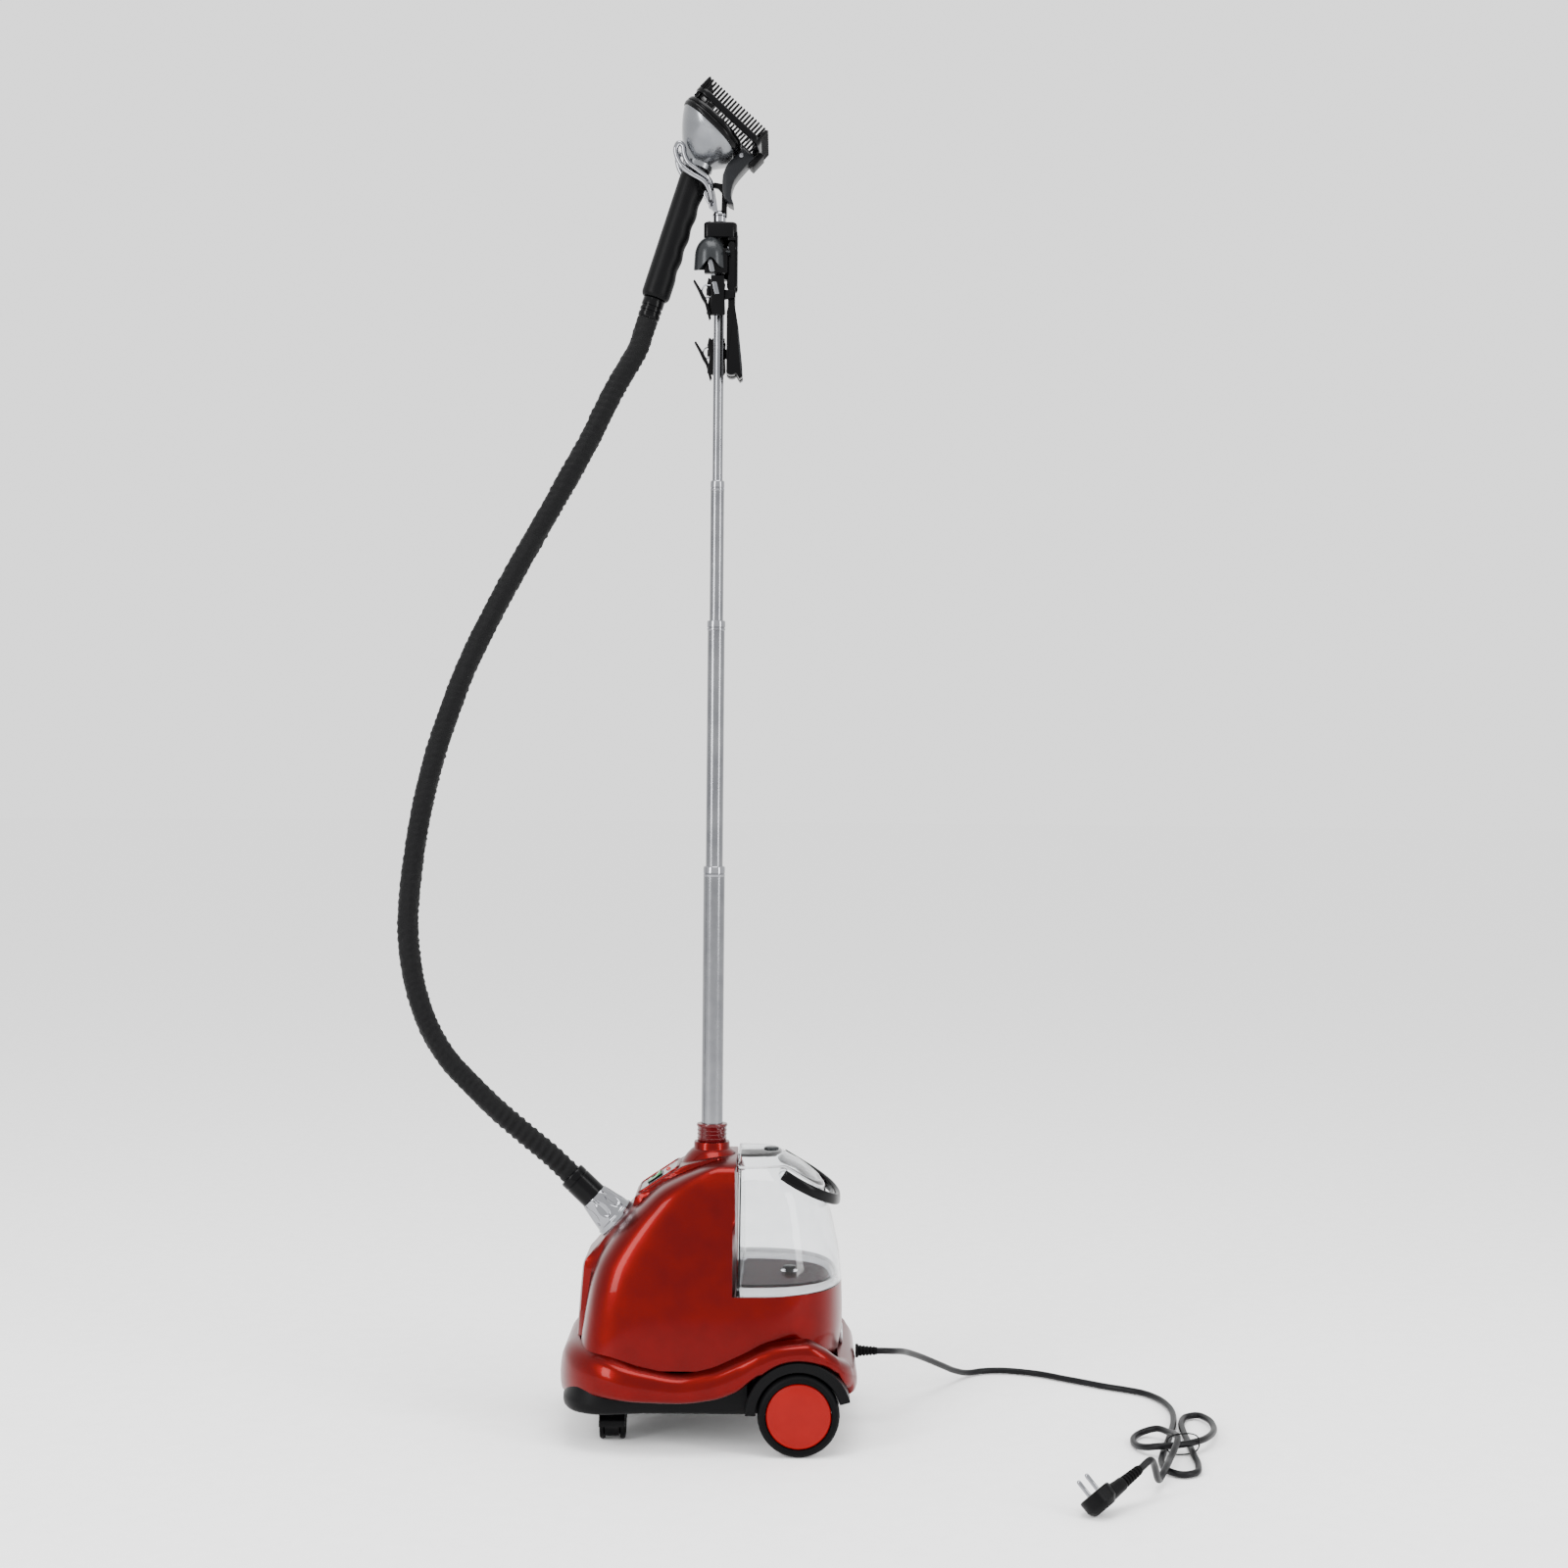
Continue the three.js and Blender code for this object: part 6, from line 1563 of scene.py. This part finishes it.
# ---- steam hose --------------------------------------------------------------------------------------
@dataclass
class SteamHose:
    """The chrome nut and cuff on the nose, and the sheathed hose up to the handset."""

    seat: Point = (-109.0, 0.0, 235.0)
    elevation: float = 43.5
    diameter: float = 26.0
    split_z: float = 930.0
    pleat: float = 8.5  # distance between the sleeve's gathers
    rib: float = 9.6  # distance between the spiral ribs near the nut

    @property
    def socket(self) -> Matrix:
        """The nut's frame: Z runs out of the nose."""
        return Matrix.Translation(self.seat) @ turned_by(math.radians(self.elevation - 90), "Y")

    def route(self) -> Ring:
        """The hose's centreline from the cuff to the handset's collar."""
        low = self.socket @ Vector((0, 0, 77.5))
        axis = Vector((math.sin(math.radians(HANDSET.tilt)), 0, math.cos(math.radians(HANDSET.tilt))))
        ends = [Vector(HANDSET.foot) - axis * below for below in (62, 44, 26.2)]
        bends = [(-186, 0, 308), (-220.5, 0, 336.5), (-255, 0, 365.5), (-289.5, 0, 399), (-312, 0, 424.5),
                 (-332, 0, 457), (-345, 0, 491), (-353.5, 0, 526), (-358, 0, 561), (-358.5, 0, 596),
                 (-352, 0, 664), (-340, 0, 733), (-321.5, 0, 802), (-297, 0, 871.5), (-264.5, 0, 941),
                 (-228, 0, 1010), (-189, 0, 1079.5), (-151.5, 0, 1148.5), (-120, 0, 1212)]
        return curve_through([low, *bends, *ends], 1.9)

    def skin(self, start: float, total: float) -> Callable[[float, float], float]:
        """The sleeve's radius by distance and turn: slanting gathers, then ribs towards the nut.

        Args:
            start: Distance along the whole hose where this piece begins.
            total: The whole hose's length.

        Returns:
            The radius function.
        """
        def read(along: float, turn: float) -> float:
            """Radius at a distance along the piece and a turn about it."""
            s = start + along
            ribbed = max(0.0, min(1.0, (150 - s) / 50))
            spiral = math.cos(math.tau * s / self.rib - turn)
            place = Vector((math.cos(turn) * 1.1, math.sin(turn) * 1.1, s / 15))
            lean = s + 4.2 * math.sin(turn + 0.8) + 5 * noise.noise(place * 0.7)
            fold = 1 - abs(math.sin(math.pi * lean / self.pleat)) ** 0.7
            wrinkle = noise.noise(Vector((place.x * 1.8, place.y * 1.8, s / 5.2)))
            sway = noise.noise(Vector((place.x, place.y, s / 60 + 9)))
            seam = math.exp(-((math.remainder(turn - 5.0 - 0.25 * math.sin(s / 90), math.tau)) / 0.16) ** 2)
            cloth = 0.75 * sway + 0.95 * wrinkle - 1.5 * fold * (0.55 + 0.45 * wrinkle) + seam * (
                0.9 * math.cos(math.tau * s / 7.2) - 0.4)
            ends = min(1.0, s / 8, (total - s) / 8)
            return self.diameter / 2 - 0.5 + ends * (ribbed * 0.85 * spiral + (1 - 0.75 * ribbed) * cloth)
        return read

    def hose(self) -> None:
        """The hose in two pieces, cut where its path passes split_z; neither piece rides on a body."""
        path = self.route()
        total = length_of(path) / MM
        cut = min(range(len(path)), key=lambda i: abs(path[i].z - self.split_z))
        sides = 56
        for name, stretch, start, pair, reach in (
                ("hose_lower", path[:cut + 1], 0.0, ("root", "mast_top"), ((0, 0, 0.3), (0, 0, 0.9))),
                ("hose_upper", path[cut:], length_of(path[:cut + 1]) / MM, ("mast_top", "handset"),
                 ((0, 0, 0.95), (0, 0, 1.27)))):
            shape = tube(stretch, self.skin(start, total), sides)
            nodes = ("steam_hose",) if name == "hose_lower" else ()
            piece = shape.object(name, SLEEVE, "", *nodes, sharp=60)
            strip_uv(piece.data, sides, len(stretch), math.pi * self.diameter, length_of(stretch) / MM)
            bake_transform(piece)

    def nut(self) -> None:
        """The chrome nut: a wide flange and a cone with drop-shaped hollows."""
        rings = []
        for r, z in [(14.3, 1), (24.8, 1), (25.5, 1.8), (25.5, 6.6), (25.1, 7.4), (24.2, 8), (23.7, 9),
                     *((23.6 - 6.1 * (i / 26) ** 1.1, 9.5 + 29.5 * i / 26) for i in range(1, 27)),
                     (17.2, 39.8),
                     (16.8, 40), (16.8, 24), (14.3, 24)]:
            ring = []
            for k in range(160):
                turn = math.tau * k / 160
                hollow = 0.0
                if 9.5 < z < 39.3 and r > 17:
                    share = (z - 12) / 26
                    half = 0.30 * max(0.0, math.sin(math.pi * max(0.0, min(1.0, share)) ** 0.8)) + 1e-6
                    away = abs(math.remainder(turn, math.tau / 8)) / half
                    hollow = 2.6 * max(0.0, 1 - away ** 2) if 0 < share < 1 else 0.0
                ring.append(Vector(((r - hollow) * math.cos(turn), (r - hollow) * math.sin(turn), z)))
            rings.append(ring)
        loft(rings, closed=True).at(self.socket).object("nut_shell", CHROME, "nut", "hose_nut", sharp=40)
        turned_at(self.socket, [(0, 32), (11.3, 32), (11.3, 24.5), (16.4, 24.5), (16.4, 66), (15.9, 66.6),
                  (15.9, 67.4), (16.4, 68), (16.4, 75), (15.6, 76.6), (14.2, 77), (0, 77)], 64).object(
            "cuff_moulding", SMOOTH_BLACK, "root", "hose_cuff", sharp=30)
        turned_at(self.socket, [(5, -15), (13.8, -15), (13.8, 12), (11, 14), (11, 30), (5, 30)], 48,
                  closed=True).object("outlet_pipe", SILVER, "root", "steam_outlet", sharp=30)

    def build(self) -> None:
        """Builds the hose and its connection."""
        self.hose()
        self.nut()


# ---- mains lead --------------------------------------------------------------------------------------
@dataclass
class MainsLead:
    """The lead from its gland to the plug, loosely looped once on the floor."""

    diameter: float = 7.5
    exit_x: float = 196.3
    exit_z: float = 84.0
    plug_place: Pair = (405.0, -318.0)
    arm_length: float = 36.0
    relief: float = 28.0
    pin_spacing: float = 19.0

    def plug_frame(self) -> Matrix:
        """The plug's frame: X runs to the lead, Y across the pins and Z along them."""
        pins = Vector((-0.61, 0.33, 0.72)).normalized()
        across = Vector((-0.32, 0.73, -0.61))
        across = (across - pins * across.dot(pins)).normalized()
        arm = across.cross(pins).normalized()
        turn = Matrix((arm, across, pins)).transposed().to_4x4()
        height = -min((turn @ p).z for p in turned([(0, -20), (12, -20), (17.5, -14), (18.5, -2), (18.5, 0)],
                                                    32).points)
        return at_point(*self.plug_place, height) @ turn

    def lead(self) -> None:
        """The lead itself, over and under itself in one loose double loop."""
        floor = self.diameter / 2 + 0.4
        frame_of_plug = self.plug_frame()
        end = frame_of_plug @ Vector((self.arm_length + self.relief - 6, 0, -11))
        arm = (frame_of_plug.to_3x3() @ Vector((1, 0, 0))).normalized()
        over, top = floor + 8.2, floor + 15.8
        route = [(self.exit_x - 2, 0, self.exit_z), (self.exit_x + 7, 0, self.exit_z), (213, 7, 82),
                 (224, 26, 77),
                 (234, 52, 69), (254, 94, 52.5), (281, 139, 31), (302, 174, 14.5), (320, 199, 5.5),
                 (340, 213, floor), (366, 216, floor), (409, 202, floor), (438, 181, floor),
                 (467, 160, floor),
                 (486, 146, floor), (508, 133, floor), (529, 117, floor), (543, 92, floor), (549, 62, floor),
                 (549, 32, floor), (543, -5, floor), (533, -45, floor), (521, -88, floor), (510, -125, floor),
                 (503, -158, floor), (505, -184, floor), (519, -198, floor), (535, -190, floor),
                 (542, -165, floor), (544, -130, floor), (546, -90, floor), (548, -45, floor),
                 (552, -8, floor),
                 (562, 18, floor), (576, 22, floor + 1), (585, 2, floor + 2), (585, -32, floor + 3),
                 (576, -68, floor + 6), (560, -98, over), (543, -113, over + 0.6), (524, -122, over + 0.4),
                 (507, -124, over), (493, -114, floor + 4), (485, -92, floor), (487, -66, floor),
                 (500, -50, floor + 2), (515, -54, over - 1), (525, -72, over + 0.6), (529, -97, over + 5),
                 (527, -122, top), (519, -148, over + 5), (509, -174, over + 0.6), (502, -196, over + 0.8),
                 (495, -214, floor + 7), (487, -232, floor + 5), tuple(end + arm * 24), tuple(end + arm * 9),
                 tuple(end)]
        path = curve_through(route, 2.4)
        piece = tube(path, lambda a, t: self.diameter / 2, 20).object(
            "mains_lead_cord", LEAD_PVC, "root", "mains_lead", "plug_lead", "cord_hank", sharp=60)
        gland, relief = self.gland(), self.plug(frame_of_plug)
        tie = self.tie()
        log.info("mains lead is %.3f m long", length_of(path))

    def tie(self) -> bpy.types.Object:
        """The thin tie that holds the loops where they cross."""
        ring = []
        for i in range(41):
            turn = math.tau * i / 40
            wide = math.copysign(abs(math.cos(turn)) ** 0.7, math.cos(turn)) * 20
            high = 12.6 + math.copysign(abs(math.sin(turn)) ** 0.8, math.sin(turn)) * 11.6
            ring.append(Vector((534 + wide * 0.96, -116 + wide * 0.2, high)))
        return tube(ring[:-1] + [ring[0]], lambda a, t: 0.8, 8, Vector((0.2, 0.96, 0)), caps=False).object(
            "lead_tie", SMOOTH_BLACK, "root", "cord_tie")

    def gland(self) -> bpy.types.Object:
        """The tapered gland on the base, ribbed towards the lead."""
        out = at_point(170.3, 0, self.exit_z) @ turned_by(math.pi / 2, "Y")
        profile = [(0, 0), (8, 0), (8, 2.6), (7, 3.4)]
        for i in range(5):
            near, r = 5 + 4 * i, 6.4 - 0.34 * i
            profile += [(r - 0.9, near - 0.8), (r, near), (r, near + 1.7), (r - 0.9, near + 2.2)]
        profile += [(4.5, 24.6), (4.2, 25.4), (0, 25.4)]
        return turned_at(out, profile, 40).object("lead_gland", TYRE_RUBBER, "root", "cord_gland", sharp=40)

    def plug(self, place: Matrix) -> list[bpy.types.Object]:
        """The angled two-pin plug, its pins and its ribbed strain relief.

        Args:
            place: The plug's frame.

        Returns:
            The plug's pieces.
        """
        disc = turned([(0, -20), (11, -20), (12.6, -19.4), (17.2, -14.6), (17.9, -13), (18.4, -2.5),
                       (18.1, -1),
                       (17, -0.2), (15.8, 0), (14.9, -0.5), (14.4, -0.5), (13.6, 0), (0, 0)], 64)
        flats = Shape([Vector((p.x, max(-16.6, min(16.6, p.y)), p.z)) for p in disc.points], disc.faces)
        neck = [[Vector((x, a * math.copysign(abs(math.cos(t)) ** 0.7, math.cos(t)),
                         z + b * math.copysign(abs(math.sin(t)) ** 0.7, math.sin(t))))
                 for t in (math.tau * k / 32 for k in range(32))]
                for x, a, b, z in ((2, 12, 8.6, -10.4), (14, 11, 8.4, -10.6), (20, 9.6, 8, -10.8),
                        (27, 8, 7.4, -11),
                                   (34.4, 7.2, 7, -11), (36, 6.4, 6.2, -11))]
        body = (flats + loft(neck)).at(place).object("plug_moulding", GRAINED_BLACK, "root", "plug_body",
                sharp=32)
        made = [body]
        for index, side in enumerate((-1, 1)):
            pin = place @ at_point(0, side * self.pin_spacing / 2, 0)
            profile = [(0, 0.2), (2.4, 0.2), (2.4, 16.6), (2, 18), (1.2, 18.8), (0, 19)]
            made.append(turned_at(pin, profile, 32).object(f"plug_pin_cover_{index + 1}", CHROME, "root",
                                                           f"plug_pin_{index + 1}", sharp=40))
        run = place @ at_point(self.arm_length + 0.3, 0, -11) @ turned_by(math.pi / 2, "Y")
        profile = [(0, 0), (5.6, 0)]
        for i in range(6):
            near, r = 2 + 4.2 * i, 6.3 - 0.22 * i
            profile += [(r - 1.2, near - 0.6), (r, near + 0.2), (r, near + 2.2), (r - 1.2, near + 2.9)]
        profile += [(4.6, 27.2), (4.1, 28), (0, 28)]
        made.append(turned_at(run, profile, 40).object("plug_relief", TYRE_RUBBER, "root",
                "plug_strain_relief",
                                                       sharp=40))
        return made

    def build(self) -> None:
        """Builds the lead with all that is on it."""
        self.lead()


def main() -> None:
    """Builds the studio and every sub-assembly in order."""
    logging.basicConfig(level=logging.INFO, format="%(message)s")
    Studio().build()
    for assembly in (SteamHose(), MainsLead(), Base(), TANK, RunningGear(), Mast(), MastHead(), HANDSET):
        assembly.build()


if __name__ == "__main__":
    main()
